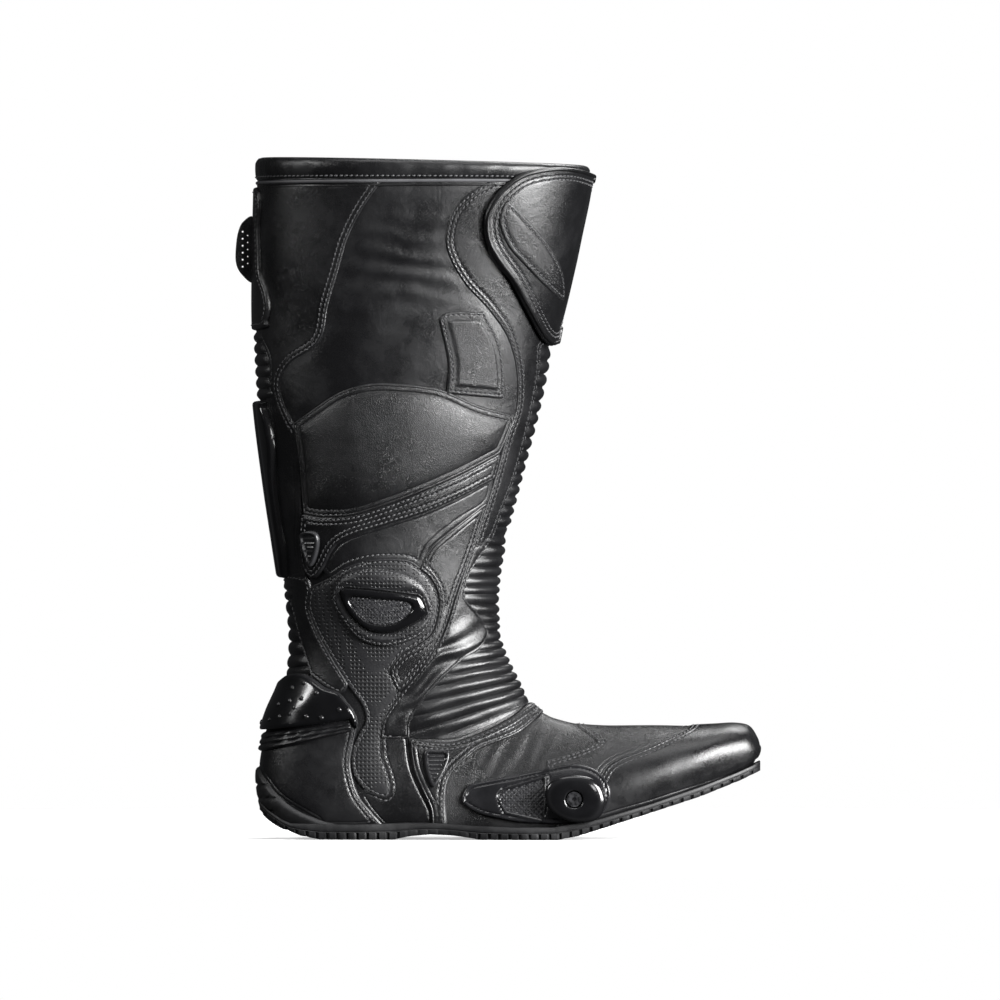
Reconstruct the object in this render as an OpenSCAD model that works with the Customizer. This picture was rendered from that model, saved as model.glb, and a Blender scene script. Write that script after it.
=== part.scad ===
// Tall road-riding boot, right foot: leather shaft and vamp on a rubber sole,
// with an ankle that flexes, a zip on the inner side and a shin flap.
// X runs from heel to toe, -Y is the outer side of the leg, Z is up.

/* [Overall size] */
// Overall length, heel to toe
foot_length = 315; // [300:1:330]
// Overall height
boot_height = 417; // [400:1:440]
// Widest half-width of the forefoot
ball_half_width = 45.5; // [43:0.5:48]

/* [Leather] */
// Thickness of the lined inner shell
shell_t = 4; // [3:0.5:4.5]
// Thickness of one leather layer
layer_t = 1.6; // [1.2:0.1:1.6]
// Gap between layers of leather
layer_gap = 0.15; // [0.1:0.05:0.2]

/* [Sole] */
// Depth of the tread blocks
tread_depth = 2.4; // [2:0.1:2.6]
// Width of the grooves between tread blocks
groove_w = 2.2; // [1.5:0.1:3]
// Pitch of the tread blocks
tread_pitch = 11; // [9:0.5:14]

/* [Zip] */
// Pitch of the zip teeth
tooth_pitch = 7; // [6:0.5:9]
// Half-width of the zip tapes
tape_half = 11; // [9:0.5:12]

/* [Toe slider] */
// How far the slider stands out from its base
slider_t = 7; // [5:0.5:9]
// Radius of the slider's screw
screw_r = 2; // [1.5:0.1:2.5]

/* [Hidden] */
$fn = 48;

kx = foot_length / 315;
kw = ball_half_width / 45.5;
knee_z = 60;     // below this the height does not change with the boot's height
around = 26;     // points round a section
CLOSE_FROM = 5;  // station below which the rows are closely spaced
base = -2.6;     // outside of the shell, against the boot's outline
mid_reach = 120; // further than any point from the middle plane

// Depth of layers m to n of leather, counted outwards from the shell
function layers(m, n) = [base + layer_gap + (m - 1) * (layer_t + layer_gap),
  base + n * (layer_t + layer_gap)];

// The boot's shape: one section per row, from the top rim, round the heel, to the toe.
// Front x and z, back x and z, half-width, centre y, widest place, front and back roundness.
STATIONS = [
  [55.5, 412, -149, 417, 65.6, 0, 0, 2.2, 2.3],
  [46.5, 371, -150, 371, 62.3, 0, 0, 2.2, 2.3],
  [35, 319, -150.5, 319, 58.5, 0, -0.04, 2.1, 2.3],
  [25.5, 269, -148, 269, 54.7, 0, -0.06, 2.0, 2.2],
  [13, 220, -142, 220, 51.1, 0, -0.08, 1.95, 2.1],
  [3, 180, -136, 180, 48, 0, -0.1, 1.9, 2.0],
  [-1, 148, -131, 146, 44.5, 0, -0.1, 1.9, 1.9],
  [0, 127, -129, 118, 41.5, 0, -0.1, 1.9, 1.9],
  [3.5, 115, -132, 97, 39.5, 0, -0.12, 1.9, 2.0],
  [8, 105, -139.5, 78, 38.2, 0, -0.15, 1.9, 2.2],
  [12, 96, -145.5, 58, 37, 0, -0.2, 1.9, 2.4],
  [16.5, 88.5, -148, 36, 36.5, 0, -0.25, 1.9, 2.6],
  [22, 82, -141, 12, 36.5, 0, -0.3, 1.9, 3.0],
  [29, 77, -116, 3, 37, -0.5, -0.35, 1.9, 3.8],
  [38, 73.5, -86, 1, 37, -1, -0.35, 1.9, 4.5],
  [50, 71, -56, 1.5, 37, -1.5, -0.35, 1.9, 5],
  [65, 70, -26, 1, 39.5, -2, -0.35, 1.95, 5],
  [82, 70, 3, 0, 43, -2.5, -0.35, 2.0, 5],
  [99, 70, 34, 0.5, 45.5, -2, -0.35, 2.05, 5],
  [116, 70, 64, 6, 45, -0.5, -0.35, 2.1, 5],
  [132, 70.5, 94, 15, 40.5, 1, -0.3, 2.2, 4.5],
  [145, 71, 122, 26, 34, 2.5, -0.25, 2.4, 4],
  [154, 69, 143, 36, 28.5, 3.5, -0.2, 2.5, 3.5],
  [159, 62, 154, 43, 23.5, 4, -0.1, 2.6, 3],
  [160.5, 57, 158, 49, 18.5, 4, 0, 2.6, 2.8]];
LAST = len(STATIONS) - 1;
NOSE = LAST + 0.95; // the rounded end of the toe, past the last section
nose_depth = 1.5;
// Top of the sole and its underside, along X
SOLE_TOP = [[-160, 10], [-120, 9.2], [-89, 8.7], [-58, 9.7], [-40, 9.7], [-15, 8], [10, 7],
  [33, 7.3], [62, 12.5], [93, 21.5], [124, 32], [145, 40], [156, 44.8], [165, 49.5]];
SOLE_BOTTOM = [[-154, 30], [-149, 20], [-142, 13], [-133, 7], [-122, 2.4], [-110, 0], [-64, 0],
  [-54, 2], [-42, 3], [-28, 2.4], [-12, 0], [36, 0], [48, 2.2], [62, 6.5],
  [87, 14.5], [124, 26.5], [148, 36], [165, 44]];
// Outline of the sole seen from below: x, centre y, half-width
SOLE_PLAN = [[-152, 0, 6], [-149, 0, 14], [-143, 0, 22], [-135, 0, 29], [-124, 0, 34],
  [-108, 0, 37.5], [-86, -0.5, 39], [-60, -1.2, 38.5], [-35, -1.8, 39.5], [-8, -2.3, 43],
  [20, -2.3, 47], [45, -1.2, 48], [70, 0, 47.5], [95, 1.2, 43.5], [120, 2.3, 37.5],
  [140, 3.3, 31], [152, 3.9, 26.5], [158, 4, 22], [160.5, 4, 16]];

function size_x(x) = x * kx;
function size_z(z) = z < knee_z ? z : knee_z + (z - knee_z) * (boot_height - knee_z) / (417 - knee_z);
function sole_top(x) = lookup(x / kx, SOLE_TOP);

// A smooth curve through four rows, at f between the middle two
function spline(a, b, c, d, f) =
  0.5 * (2 * b + (c - a) * f + (2 * a - 5 * b + 4 * c - d) * f * f
    + (3 * b - a - 3 * c + d) * f * f * f);
function row(i) = STATIONS[max(0, min(LAST, i))];
function station(t) = let (i = min(LAST - 1, floor(t)))
  t > LAST ? row(LAST) : spline(row(i - 1), row(i), row(i + 1), row(i + 2), t - i);

// A point on the boot's surface moved out by d; a is 0 at the front, 90 outside, 180 behind
function skin_point(t, a, d) = let (
    s = station(t),
    f = [size_x(s[0]), size_z(s[1])], b = [size_x(s[2]), size_z(s[3])],
    dir = (f - b) / norm(f - b), half = norm(f - b) / 2,
    past = max(0, t - LAST), shrink = sqrt(1 - past * past),
    mid = (f + b) / 2 + [dir.y, -dir.x] * past * (nose_depth + d),
    front = cos(a) >= 0, n = front ? s[7] : s[8],
    c = shrink * pow(abs(cos(a)), 2 / n), w = shrink * pow(abs(sin(a)), 2 / n),
    reach = half + d, wide = s[6] * half,
    u = front ? wide + c * (reach - wide) : wide - c * (reach + wide),
    p = mid + dir * u)
  [p.x, s[5] - sign(sin(a)) * w * (s[4] * kw + d), max(p.y, sole_top(p.x) - 1.2 * (d - base))];

// Places of the sections from t0 to t1: every half station down the shaft, then every station
function places(t0, t1) = concat([for (t = [t0:0.5:min(t1, CLOSE_FROM)]) t],
  [for (t = [max(t0, CLOSE_FROM + 1):1:t1]) t]);
// Sections of the boot at the given places, moved out by d
function sections(ts, d) =
  [for (t = ts, j = [0:around - 1]) skin_point(t, 360 * j / around, d)];
// Sections with n / 3 beads standing out between t0 and t1
function beads(t0, t1, n, d, high) =
  [for (i = [0:n], j = [0:around - 1])
    skin_point(t0 + (t1 - t0) * i / n, 360 * j / around, i % 3 == 0 ? d : d + high)];
// The same with a soft bulge: x, z, reach along x, reach along z, height
function bulge(ts, d, at) =
  [for (t = ts, j = [0:around - 1]) let (
      a = 360 * j / around, p = skin_point(t, a, d),
      r = pow((p.x - size_x(at[0])) / at[2], 2) + pow((p.z - size_z(at[1])) / at[3], 2))
    skin_point(t, a, d + at[4] * max(0, 1 - r * r))];

// The faces between sections, starting at point o
function strip(n, o, flip) = [for (i = [0:n - 1], j = [0:around - 1], k = [0, 1]) let (
    e = (j + 1) % around, p = o + i * around, q = p + around,
    tri = k == 0 ? [p + j, p + e, q + e] : [p + j, q + e, q + j])
  flip ? reversed(tri) : tri];
// The faces of a rim between the outer points from o and the inner points from q
function rim(o, q, flip) = [for (j = [0:around - 1], k = [0, 1]) let (
    e = (j + 1) % around, tri = k == 0 ? [o + j, q + e, o + e] : [o + j, q + j, q + e])
  flip ? reversed(tri) : tri];
// A tube with the given outer and inner points
module wall(outer, inner) {
  q = len(outer);
  n = q / around - 1;
  polyhedron(concat(outer, inner), concat(strip(n, 0, true), strip(n, q, false),
    rim(0, q, false), rim(q - around, 2 * q - around, true)), convexity = 10);
}
module skin(t0, t1, depth) {
  ts = places(t0, t1);
  wall(sections(ts, depth[1]), sections(ts, depth[0]));
}
module padded_skin(t0, t1, depth, at) {
  ts = places(t0, t1);
  wall(bulge(ts, depth[1], at), sections(ts, depth[0]));
}

// A solid through rings of points, flat at both ends
module lofted(points) {
  n = len(points) / around - 1;
  polyhedron(points, concat(strip(n, 0, true), [[for (j = [0:around - 1]) j]],
    [[for (j = [around - 1:-1:0]) n * around + j]]), convexity = 10);
}
// The solid inside the surface moved out by d
module filled(t0, t1, d) {
  nose = t1 > LAST ? [LAST + 0.6, LAST + 0.95] : [];
  lofted(sections(concat(places(t0, min(t1, LAST)), nose), d));
}
module beaded_skin(t0, t1, count, depth, high) {
  difference() {
    lofted(beads(t0, t1, count * 3, depth[1], high));
    filled(floor(t0) - 1, ceil(t1) + 1, depth[0]);
  }
}

// A closed smooth outline through points, k steps between each pair; k = 1 leaves it straight
function outline(p, k) = let (n = len(p))
  [for (i = [0:n - 1], j = [0:k - 1])
    spline(p[(i + n - 1) % n], p[i], p[(i + 1) % n], p[(i + 2) % n], j / k)];
function moved(p, by) = [for (q = p) q + by];
function reversed(p) = [for (i = [len(p) - 1:-1:0]) p[i]];
function upto(p, a, b) = [for (i = [a:b]) p[i]];

// An outline in side view cut right through the boot: side 1 outer, -1 inner, 0 both
module cut(points, side = 0, k = 3, grow = 0) {
  placed = [for (q = outline(points, k)) [size_x(q.x), size_z(q.y)]];
  translate([0, side == 1 ? 0 : mid_reach, 0])
    rotate([90, 0, 0])
      linear_extrude(side == 0 ? 2 * mid_reach : mid_reach)
        offset(delta = grow)
          polygon(placed);
}

// Its children as one mesh
module meshed() {
  resize([0, 0, 0]) children();
}

// A leather panel: layers m to n over stations t0 to t1, inside an outline in side view
module panel(points, side, m, n, t0, t1, k = 3) {
  meshed() intersection() {
    skin(t0, t1, layers(m, n));
    cut(points, side, k);
  }
}

// ---- seams in side view, from the top down ----
REAR_SEAM = [[-72, 401], [-84, 386], [-93, 368], [-99, 348], [-105, 328], [-108, 311],
  [-114, 302], [-128, 293], [-135, 281], [-133, 269], [-127, 256]];
FRONT_SEAM = [[-4, 401], [-18, 395], [-28, 384], [-32, 368], [-29, 355], [-20, 340],
  [-6, 325], [6, 308], [12, 287], [12, 264], [6, 247], [0, 225], [-6, 206], [-14, 184]];
FOLD_SEAM = [[-15, 179], [-24, 152], [-32, 128], [-41, 113], [-54, 97], [-65, 82],
  [-69, 75]];
STRIP_EDGE = [[26, 301], [25, 286], [22, 269], [16.5, 245], [9.5, 220], [3, 202], [-2, 187]];
FOLD_EDGE = [[-4, 180], [-11, 173], [-18, 161], [-20, 148], [-12, 138], [-6, 128],
  [-10, 118], [-22, 110], [-36, 97], [-48, 83], [-54, 73], [-56, 68.5]];
CALF_TOP = [[-127, 255], [-114, 264], [-98, 274], [-80, 279], [-60, 279], [-36, 276],
  [-12, 266], [10, 260]];
CALF_BOTTOM = [[1, 236], [-24, 223], [-49, 212], [-73, 203], [-90, 198], [-108, 197], [-121, 199]];
STRAP_LOW = [[-3, 221], [-24, 210], [-45, 201], [-70, 193], [-92, 186], [-102, 179],
  [-109, 166], [-115, 161], [-120, 168], [-122, 185]];
RING_TOP = [[-103, 159], [-92, 167], [-75, 171], [-56, 170], [-49, 165]];
ANKLE_FRONT = [[-43, 160], [-38, 152], [-37, 141], [-41, 128], [-50, 120], [-60, 114],
  [-67, 103], [-62, 91], [-67, 80], [-72, 66], [-72, 52], [-68, 39], [-67, 30]];
ANKLE_REAR = [[-71, 27], [-80, 31], [-88, 40], [-89, 52], [-85, 64], [-81, 73], [-84, 83],
  [-92, 95], [-103, 112], [-112, 128], [-117, 142], [-115, 153]];
HEEL_EDGE = [[-89, 67], [-91, 57], [-92, 47], [-91, 38], [-87, 28], [-81, 19], [-73, 10.5]];
SADDLE_TOP = [[-55, 61.5], [-42, 59], [-27, 59], [-12, 64], [7, 73], [22, 84]];
SADDLE_LOW = [[26, 78], [13, 67], [1, 61], [-12, 56], [-21, 49], [-29, 41], [-33, 30], [-33, 9.5]];
TOE_SEAM = [[118, 76], [117, 68], [109, 65], [99, 60], [87, 55], [74, 50], [66, 44], [61, 35],
  [58, 25], [50, 10]];
WRAP_EDGE = [[-158, 54], [-151, 49], [-145, 38], [-134, 25], [-123, 17], [-109, 11.5], [-98, 9.6]];
CUP = [[-96, 153], [-85, 153.5], [-70, 152], [-55, 150], [-49, 148.5], [-45, 141], [-47, 136],
  [-61, 128], [-70, 126.5], [-79, 128], [-86, 133], [-93, 142]];
CUP_WINDOW = [[-90, 148], [-74, 147], [-57, 145.5], [-54, 141], [-61, 134], [-70, 131.5],
  [-79, 133], [-86, 139]];

// ---- the ankle's parting lines: the shell is split by two wedges that meet at the hinge ----
SHAFT_PART = [[-200, 440], [200, 440], [200, 256], [-60, 148.5], [-80, 148.5], [-200, 190]];
GUSSET_PART = [[-200, 189.4], [-80, 147.9], [-60, 147.9], [200, 255.4], [200, -27],
  [-60, 134.6], [-80, 134.6], [-200, 94.6]];
FOOT_PART = [[-200, 94], [-80, 134], [-60, 134], [200, -27.5], [200, -50], [-200, -50]];
// Depth of the shell, and the same one layer further in for the stiffeners
SHELL = [base - shell_t, base];
STIFF = [base - shell_t - layer_gap - 1.5, base - shell_t - layer_gap];

// ---- sole ----
// A slab between heights above two curves, inside the sole's outline drawn in by inset
module sole_slab(low, low_up, high, high_up, x0, x1, inset) {
  xs = [for (x = [x0:(x1 - x0) / 40:x1]) x];
  side = concat([for (x = xs) [size_x(x), lookup(x, low) + low_up]],
    [for (i = [len(xs) - 1:-1:0]) [size_x(xs[i]), lookup(xs[i], high) + high_up]]);
  plan = concat([for (p = SOLE_PLAN) [size_x(p[0]), p[1] - p[2] * kw]],
    [for (i = [len(SOLE_PLAN) - 1:-1:0]) let (p = SOLE_PLAN[i]) [size_x(p[0]), p[1] + p[2] * kw]]);
  intersection() {
    translate([0, mid_reach, 0]) rotate([90, 0, 0]) linear_extrude(2 * mid_reach) polygon(side);
    translate([0, 0, -10]) linear_extrude(mid_reach) offset(delta = -inset) polygon(plan);
  }
}

module outsole() {
  color("#181818") meshed()
    sole_slab(SOLE_BOTTOM, tread_depth + 0.1, SOLE_TOP, -0.8, -128, 161.5, 0);
}

// Tread blocks across the sole, between x0 and x1
module tread(x0, x1) {
  meshed() difference() {
    sole_slab(SOLE_BOTTOM, 0, SOLE_BOTTOM, tread_depth, x0, x1, 1.2);
    for (x = [size_x(x0) + tread_pitch:tread_pitch:size_x(x1) - 4])
      translate([x, 0, 0])
        rotate([0, 0, 12])
          for (side = [0, 1])
            translate([-groove_w / 2, side == 0 ? 3 : -mid_reach - 3, -8])
              cube([groove_w, mid_reach, 80]);
  }
}

module heel_tread() {
  color("#141414") tread(-127, -62);
}

module forefoot_tread() {
  color("#141414") tread(-16, 158);
}

// Rubber carried up round the back of the heel
module heel_wrap() {
  color("#181818") meshed() intersection() {
    skin(8, 16, [base + layer_gap, base + 4.6]);
    cut(concat(WRAP_EDGE, [[-128.5, 9.5], [-128.5, 5.5], [-133, 7.5], [-142, 13.5], [-149, 20.5],
      [-158, 33]]), 0, 1);
  }
}

// The room inside the lined shell of the foot, with a little clearance
module inside_shell() {
  filled(5.5, LAST - 1, SHELL[0] - 0.5);
}

module insole_board() {
  color("#9a8262") meshed() difference() {
    intersection() {
      sole_slab(SOLE_TOP, 5, SOLE_TOP, 8.2, -138, 140, 11);
      inside_shell();
    }
    shank_box(0.3);
  }
}

module shank_box(gap) {
  translate([-95, -10 - gap, 0])
    intersection() {
      cube([110, 16 + 2 * gap, 40]);
      translate([95, mid_reach, 0])
        rotate([90, 0, 0])
          linear_extrude(2 * mid_reach)
            polygon(concat([for (x = [-95:10:15]) [x, sole_top(x) + 5.2 - gap]],
              [for (x = [15:-10:-95]) [x, sole_top(x) + 6.6 + gap]]));
    }
}

module steel_shank() {
  color("#8a8d90") meshed() shank_box(0);
}

module footbed() {
  color("#2b2b2e") meshed() intersection() {
    sole_slab(SOLE_TOP, 8.4, SOLE_TOP, 11.8, -137, 130, 14);
    inside_shell();
  }
}

// ---- foot upper ----
module toe_puff() {
  color("#b9a98b") meshed() intersection() {
    skin(19, 22, STIFF);
    cut([[84, 110], [84, 36], [120, 42], [170, 64], [170, 110]], 0, 1);
  }
}

module heel_stiffener() {
  color("#b9a98b") meshed() intersection() {
    skin(8, 16, STIFF);
    cut([[-170, 80], [-120, 84], [-92, 60], [-84, 30], [-80, 23], [-170, 23]], 0, 1);
  }
}

module foot_upper() {
  color("#222226") meshed() intersection() {
    difference() {
      filled(6, NOSE, SHELL[1]);
      filled(5.5, LAST - 1, SHELL[0]);
      slider_hole();
    }
    cut(FOOT_PART, 0, 1);
  }
}

// A leather panel that closes over the toe
module toe_panel(points, m, n, t0, k = 3) {
  meshed() intersection() {
    difference() {
      filled(t0, NOSE, layers(m, n)[1]);
      filled(t0 - 0.5, NOSE, layers(m, n)[0] + 0.35);
      slider_hole();
    }
    cut(points, 0, k);
  }
}

module toe_cap() {
  color("#0e0e10") toe_panel(concat(TOE_SEAM,
    [for (x = [56, 62, 93, 124, 145, 156, 166]) [x, sole_top(x * kx) + 0.4]], [[170, 60], [170, 78]]),
    1, 1, 14, 1);
}

module vamp_overlay() {
  color("#131316") meshed() difference() {
    panel(concat([[40, 80]], [[50, 70], [57, 65.5], [62, 60], [56, 56], [44, 51.5],
    [30, 47.5], [32, 30], [36, 8.4], [48, 10.6]], moved(reversed(TOE_SEAM), [-1, 0])),
      0, 1, 1, 14, 23, 1);
    slider_hole();
  }
}

module vamp_grain() {
  color("#1a1a1d") meshed() difference() {
    panel(concat(moved(reversed(SADDLE_LOW), [1, 0]), [[32, 86], [46, 77], [49, 69.5], [56, 65],
      [61, 60], [55, 57], [43, 52.5], [29, 48.5], [31, 30], [35, 8.2], [10, 7.5], [-15, 8.5]]),
      0, 1, 1, 11, 22, 1);
    slider_hole();
  }
}

module saddle_strap() {
  color("#101013") panel(concat(SADDLE_TOP, [[30, 92], [34, 86]], SADDLE_LOW,
    [[-41, 10.3], [-42, 19], [-47, 30], [-52, 42], [-54, 52]]), 0, 1, 2, 9, 19, 1);
}

module quarter_panel() {
  color("#121215") panel(concat([[-70, 73], [-58, 66], [-56, 60], [-55, 52], [-53, 42], [-48, 30],
    [-43, 19], [-42, 10.6], [-60, 10.3], [-72, 10]], [[-80, 19], [-85, 27], [-80, 29], [-70, 25.5],
    [-65.5, 30], [-66.5, 39], [-70.5, 52], [-70.5, 66]]), 0, 1, 1, 9, 17, 1);
}

module heel_cup() {
  color("#151518") panel(concat([[-170, 95], [-140, 91], [-126, 95], [-114, 91], [-106, 84],
    [-98, 82], [-92, 76]], HEEL_EDGE, [[-96, 9.9]], moved(reversed(WRAP_EDGE), [0, 0.9]), [[-170, 56]]),
    0, 1, 1, 8, 17, 1);
}

// Heel guard: thick moulded plastic round the back of the heel, studded
module heel_guard() {
  depth = [layers(2, 2)[0], base + 5.5];
  color("#0c0c0e") meshed() {
    intersection() {
      padded_skin(7, 13, depth, [-140, 76, 50, 30, 2]);
      cut([[-170, 66.5], [-147, 67], [-120, 69.5], [-91, 73.5], [-88, 67.5], [-86.5, 70], [-89, 79],
        [-93, 84], [-98, 90], [-106, 93], [-114, 98.5], [-121, 101.5], [-128, 101], [-134, 96],
        [-141, 90], [-147, 86], [-170, 84]], 0, 1);
    }
    for (side = [-1, 1], s = STUDS)
      translate(skin_point(s[0], 180 - side * s[1], base + 6.2))
        rotate([0, 0, side * s[1]])
          rotate([0, -90, 0])
            cylinder(h = 2.4, r1 = 2, r2 = 0.9, center = true, $fn = 6);
  }
}
// Studs: station, and angle from the back
STUDS = [for (r = [0:2], c = [0:3]) [8.1 + 0.45 * r + 0.1 * c, 9 + 17 * c + 8 * (r % 2)]];

module heel_band() {
  color("#0c0c0e") meshed() intersection() {
    beaded_skin(8.5, 11.5, 8, [layers(2, 2)[0], base + 3.6], 1.4);
    cut([[-170, 64.5], [-152, 64.5], [-120, 68], [-93, 71.4], [-92, 66.2], [-120, 59.5], [-150, 53.5],
      [-170, 53]], 0, 1);
  }
}

// A moulded teardrop vent standing on the leather at depth d: a rim round a sunk plate
module vent(points, inset, d, t0, t1) {
  rim_high = 2.4;
  plate = 1;
  meshed() difference() {
    intersection() {
      skin(t0, t1, [d, d + rim_high]);
      cut(points, 1, 2);
    }
    intersection() {
      skin(t0, t1, [d + plate, d + 2 * rim_high]);
      cut(points, 1, 2, -inset);
    }
  }
}

module lower_vent() {
  color("#1b1b1e") vent([[-46, 54], [-39, 54.5], [-33, 54], [-31.5, 50], [-34, 42], [-39, 33],
    [-42, 33], [-45, 40], [-46.5, 48]], 2.2, layers(3, 3)[0], 10, 17);
}

// ---- toe slider ----
slider_x = 46;
slider_z = 25;
slider_y = -50.2; // where the slider sits on its base
module slider_hole() {
  translate([size_x(slider_x), 0, slider_z])
    rotate([90, 0, 0])
      cylinder(h = mid_reach, r = screw_r + 0.2);
}

module slider_base() {
  color("#0b0b0d") meshed() intersection() {
    difference() {
      skin(13, 23, [layers(2, 2)[0], base + 4.4]);
      slider_hole();
      cut([[5, 18], [26, 13], [27, 37], [14, 33], [4, 30], [1, 25]], 1, 1);
    }
    cut([[-23, 25], [-19, 33], [-6, 36.5], [13, 40], [27, 43], [44, 46], [58, 43], [67, 34],
      [68, 24], [62, 15], [48, 11.2], [27, 10.4], [13, 11], [1, 13], [-12, 16], [-21, 21]], 1, 3);
  }
}

module slider_mesh() {
  color("#3a3a3e") meshed() intersection() {
    skin(13, 21, [layers(2, 2)[0], base + 3]);
    cut([[5.5, 18.6], [25.5, 13.7], [26.5, 36.3], [14.5, 32.4], [4.5, 29.4], [1.8, 25]], 1, 1);
  }
}

PUCK = [[-18, 4], [-14, 11], [-4, 14.5], [9, 13.5], [16, 8], [19, -1], [17, -9], [11, -13.5],
  [0, -14], [-9, -11], [-16, -5]];
module toe_slider() {
  color("#0a0a0c") translate([size_x(slider_x), slider_y, slider_z])
    rotate([90, 0, 0])
      difference() {
        union() {
          linear_extrude(slider_t - 2.5) polygon(outline(PUCK, 3));
          translate([0, 0, slider_t - 2.5]) linear_extrude(2.5) polygon(outline(0.84 * PUCK, 3));
        }
        translate([0, 0, -1]) cylinder(h = 30, r = screw_r + 0.2);
        translate([0, 0, 2.5]) cylinder(h = 30, r = 5.2);
      }
}

// Button-head socket screw through the slider, its base and the leather
module slider_screw() {
  color("#77797c") translate([size_x(slider_x), slider_y, slider_z])
    rotate([90, 0, 0])
      difference() {
        union() {
          translate([0, 0, -16]) cylinder(h = 18.6, r = screw_r);
          translate([0, 0, 2.6]) cylinder(h = 2.6, r = 4.6);
        }
        translate([0, 0, 3.4]) cylinder(h = 5, r = 1.5, $fn = 6);
      }
}

module slider_nut() {
  color("#77797c") translate([size_x(slider_x), slider_y, slider_z])
    rotate([90, 0, 0])
      translate([0, 0, -15.6])
        difference() {
          union() {
            cylinder(h = 3, r = 4, $fn = 6);
            translate([0, 0, 3.05]) cylinder(h = 0.8, r = 7);
            translate([0, 0, 2.9]) cylinder(h = 0.5, r = 3.6);
          }
          translate([0, 0, -1]) cylinder(h = 8, r = screw_r + 0.05);
        }
}

// ---- parts that bend at the ankle ----
module ankle_gusset() {
  color("#222226") meshed() intersection() {
    skin(3, 14, SHELL);
    cut(GUSSET_PART, 0, 1);
  }
}

module instep_bellows() {
  color("#161619") meshed() intersection() {
    beaded_skin(4, 13, 22, [base + 0.5, base + 2.2], 1.8);
    cut(concat(moved(FOLD_EDGE, [1, 0]), [[-42, 62], [-27, 62], [-12, 67], [7, 76], [24, 87], [60, 90],
      [60, 184], [-2, 184]]), 0, 1);
  }
}

module instep_fold() {
  color("#131316") panel(concat(FOLD_SEAM, reversed(FOLD_EDGE)), 0, 1, 1, 4, 14, 1);
}

module achilles_bellows() {
  color("#161619") meshed() intersection() {
    beaded_skin(5, 9, 13, [base + 0.5, base + 1.8], 1.6);
    cut([[-170, 156], [-132, 156], [-128, 140], [-123, 120], [-117, 104], [-119, 103], [-128, 102.6],
      [-170, 96.5]], 0, 1);
  }
}

module rear_strip() {
  color("#121215") panel(concat([[-136, 163], [-119, 159]], [[-117, 152], [-118.5, 142],
    [-113.5, 128], [-104.5, 112], [-93.5, 95], [-97, 91], [-105, 94], [-114, 99.5], [-116, 103]],
    [[-122, 120], [-127, 140], [-131, 157]]), 0, 1, 1, 4, 11, 1);
}

module ankle_panel() {
  color("#2a2a2e") panel(concat(RING_TOP, ANKLE_FRONT, ANKLE_REAR), 0, 1, 1, 4, 17, 1);
}

module side_panel() {
  color("#101013") panel(concat([[-8.5, 203], [-18, 176], [-26, 152], [-33.5, 128], [-42, 112],
    [-55, 96]], [[-61, 90], [-66, 103], [-59.5, 113], [-49, 119], [-40, 127], [-36, 141],
    [-37, 152], [-42, 161], [-48, 166], [-41, 179], [-24, 193]]), 0, 1, 1, 3, 13, 1);
}

// ---- shaft ----
module shaft_upper() {
  color("#222226") meshed() intersection() {
    skin(0, 8, SHELL);
    cut(SHAFT_PART, 0, 1);
  }
}

module collar() {
  color("#0f0f12") meshed() intersection() {
    skin(0, 1, [layers(1, 1)[0], base + 3.4]);
    cut([[-170, 400.5], [-148, 400.5], [-122, 403], [-72, 403], [-6, 401.5], [80, 398], [80, 440],
      [-170, 440]], 0, 1);
  }
}

module rear_quarter() {
  color("#121215") panel(concat(moved(REAR_SEAM, [-1, -1]), [[-122.5, 246], [-122.5, 200],
    [-123.5, 185], [-121.5, 168], [-119, 161]], [[-131, 164], [-135, 180], [-138, 220], [-140, 250],
    [-143, 267], [-142, 291], [-146, 303], [-152, 313], [-170, 313], [-170, 399.5], [-148, 399.5],
    [-122, 401.5]]), 0, 1, 1, 0, 6, 1);
}

module upper_calf() {
  color("#141417") panel(concat(REAR_SEAM, moved(CALF_TOP, [0, 1]),
    reversed(moved(upto(FRONT_SEAM, 0, 9), [-1, -0.5]))), 1, 1, 1, 0, 4, 1);
}

// Calf pad: grained leather over foam
module calf_pad() {
  color("#17171a") meshed() intersection() {
    padded_skin(2, 6, layers(1, 1), [-62, 238, 72, 52, 4.5]);
    cut(concat(CALF_TOP, [[5, 247]], CALF_BOTTOM, [[-121, 245]]), 1, 1);
  }
}

module strap_band() {
  color("#0f0f12") meshed() intersection() {
    skin(3, 6, [layers(1, 1)[0], base + 3]);
    cut(concat(moved(CALF_BOTTOM, [0, -1]), reversed(STRAP_LOW)), 1, 1);
  }
}

module upper_vent() {
  color("#1b1b1e") vent([[-120.5, 187], [-115, 189], [-110.5, 187], [-109.5, 181], [-111.5, 172],
    [-114.5, 167], [-117, 171], [-119.5, 179]], 2, base + 3.2, 3, 7);
}

module wing_panel() {
  color("#111114") panel(concat(moved(upto(STRAP_LOW, 0, 6), [0, -1]), [[-104, 160]],
    moved(RING_TOP, [0, 0.9]), [[-43, 180], [-25, 194.5], [-8, 206]]), 1, 1, 1, 3, 7, 1);
}

module front_strip() {
  color("#121215") panel(concat(FRONT_SEAM, reversed(STRIP_EDGE), [[29, 303], [80, 303],
    [80, 397], [20, 400]]), 0, 1, 1, 0, 6, 1);
}

module shin_bellows() {
  color("#161619") meshed() intersection() {
    beaded_skin(2, 5, 16, [base + 0.5, base + 1.8], 1.6);
    cut(concat([[26.5, 302]], moved(upto(STRIP_EDGE, 1, 6), [1, 0]), [[60, 187], [60, 302]]), 0, 1);
  }
}

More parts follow.
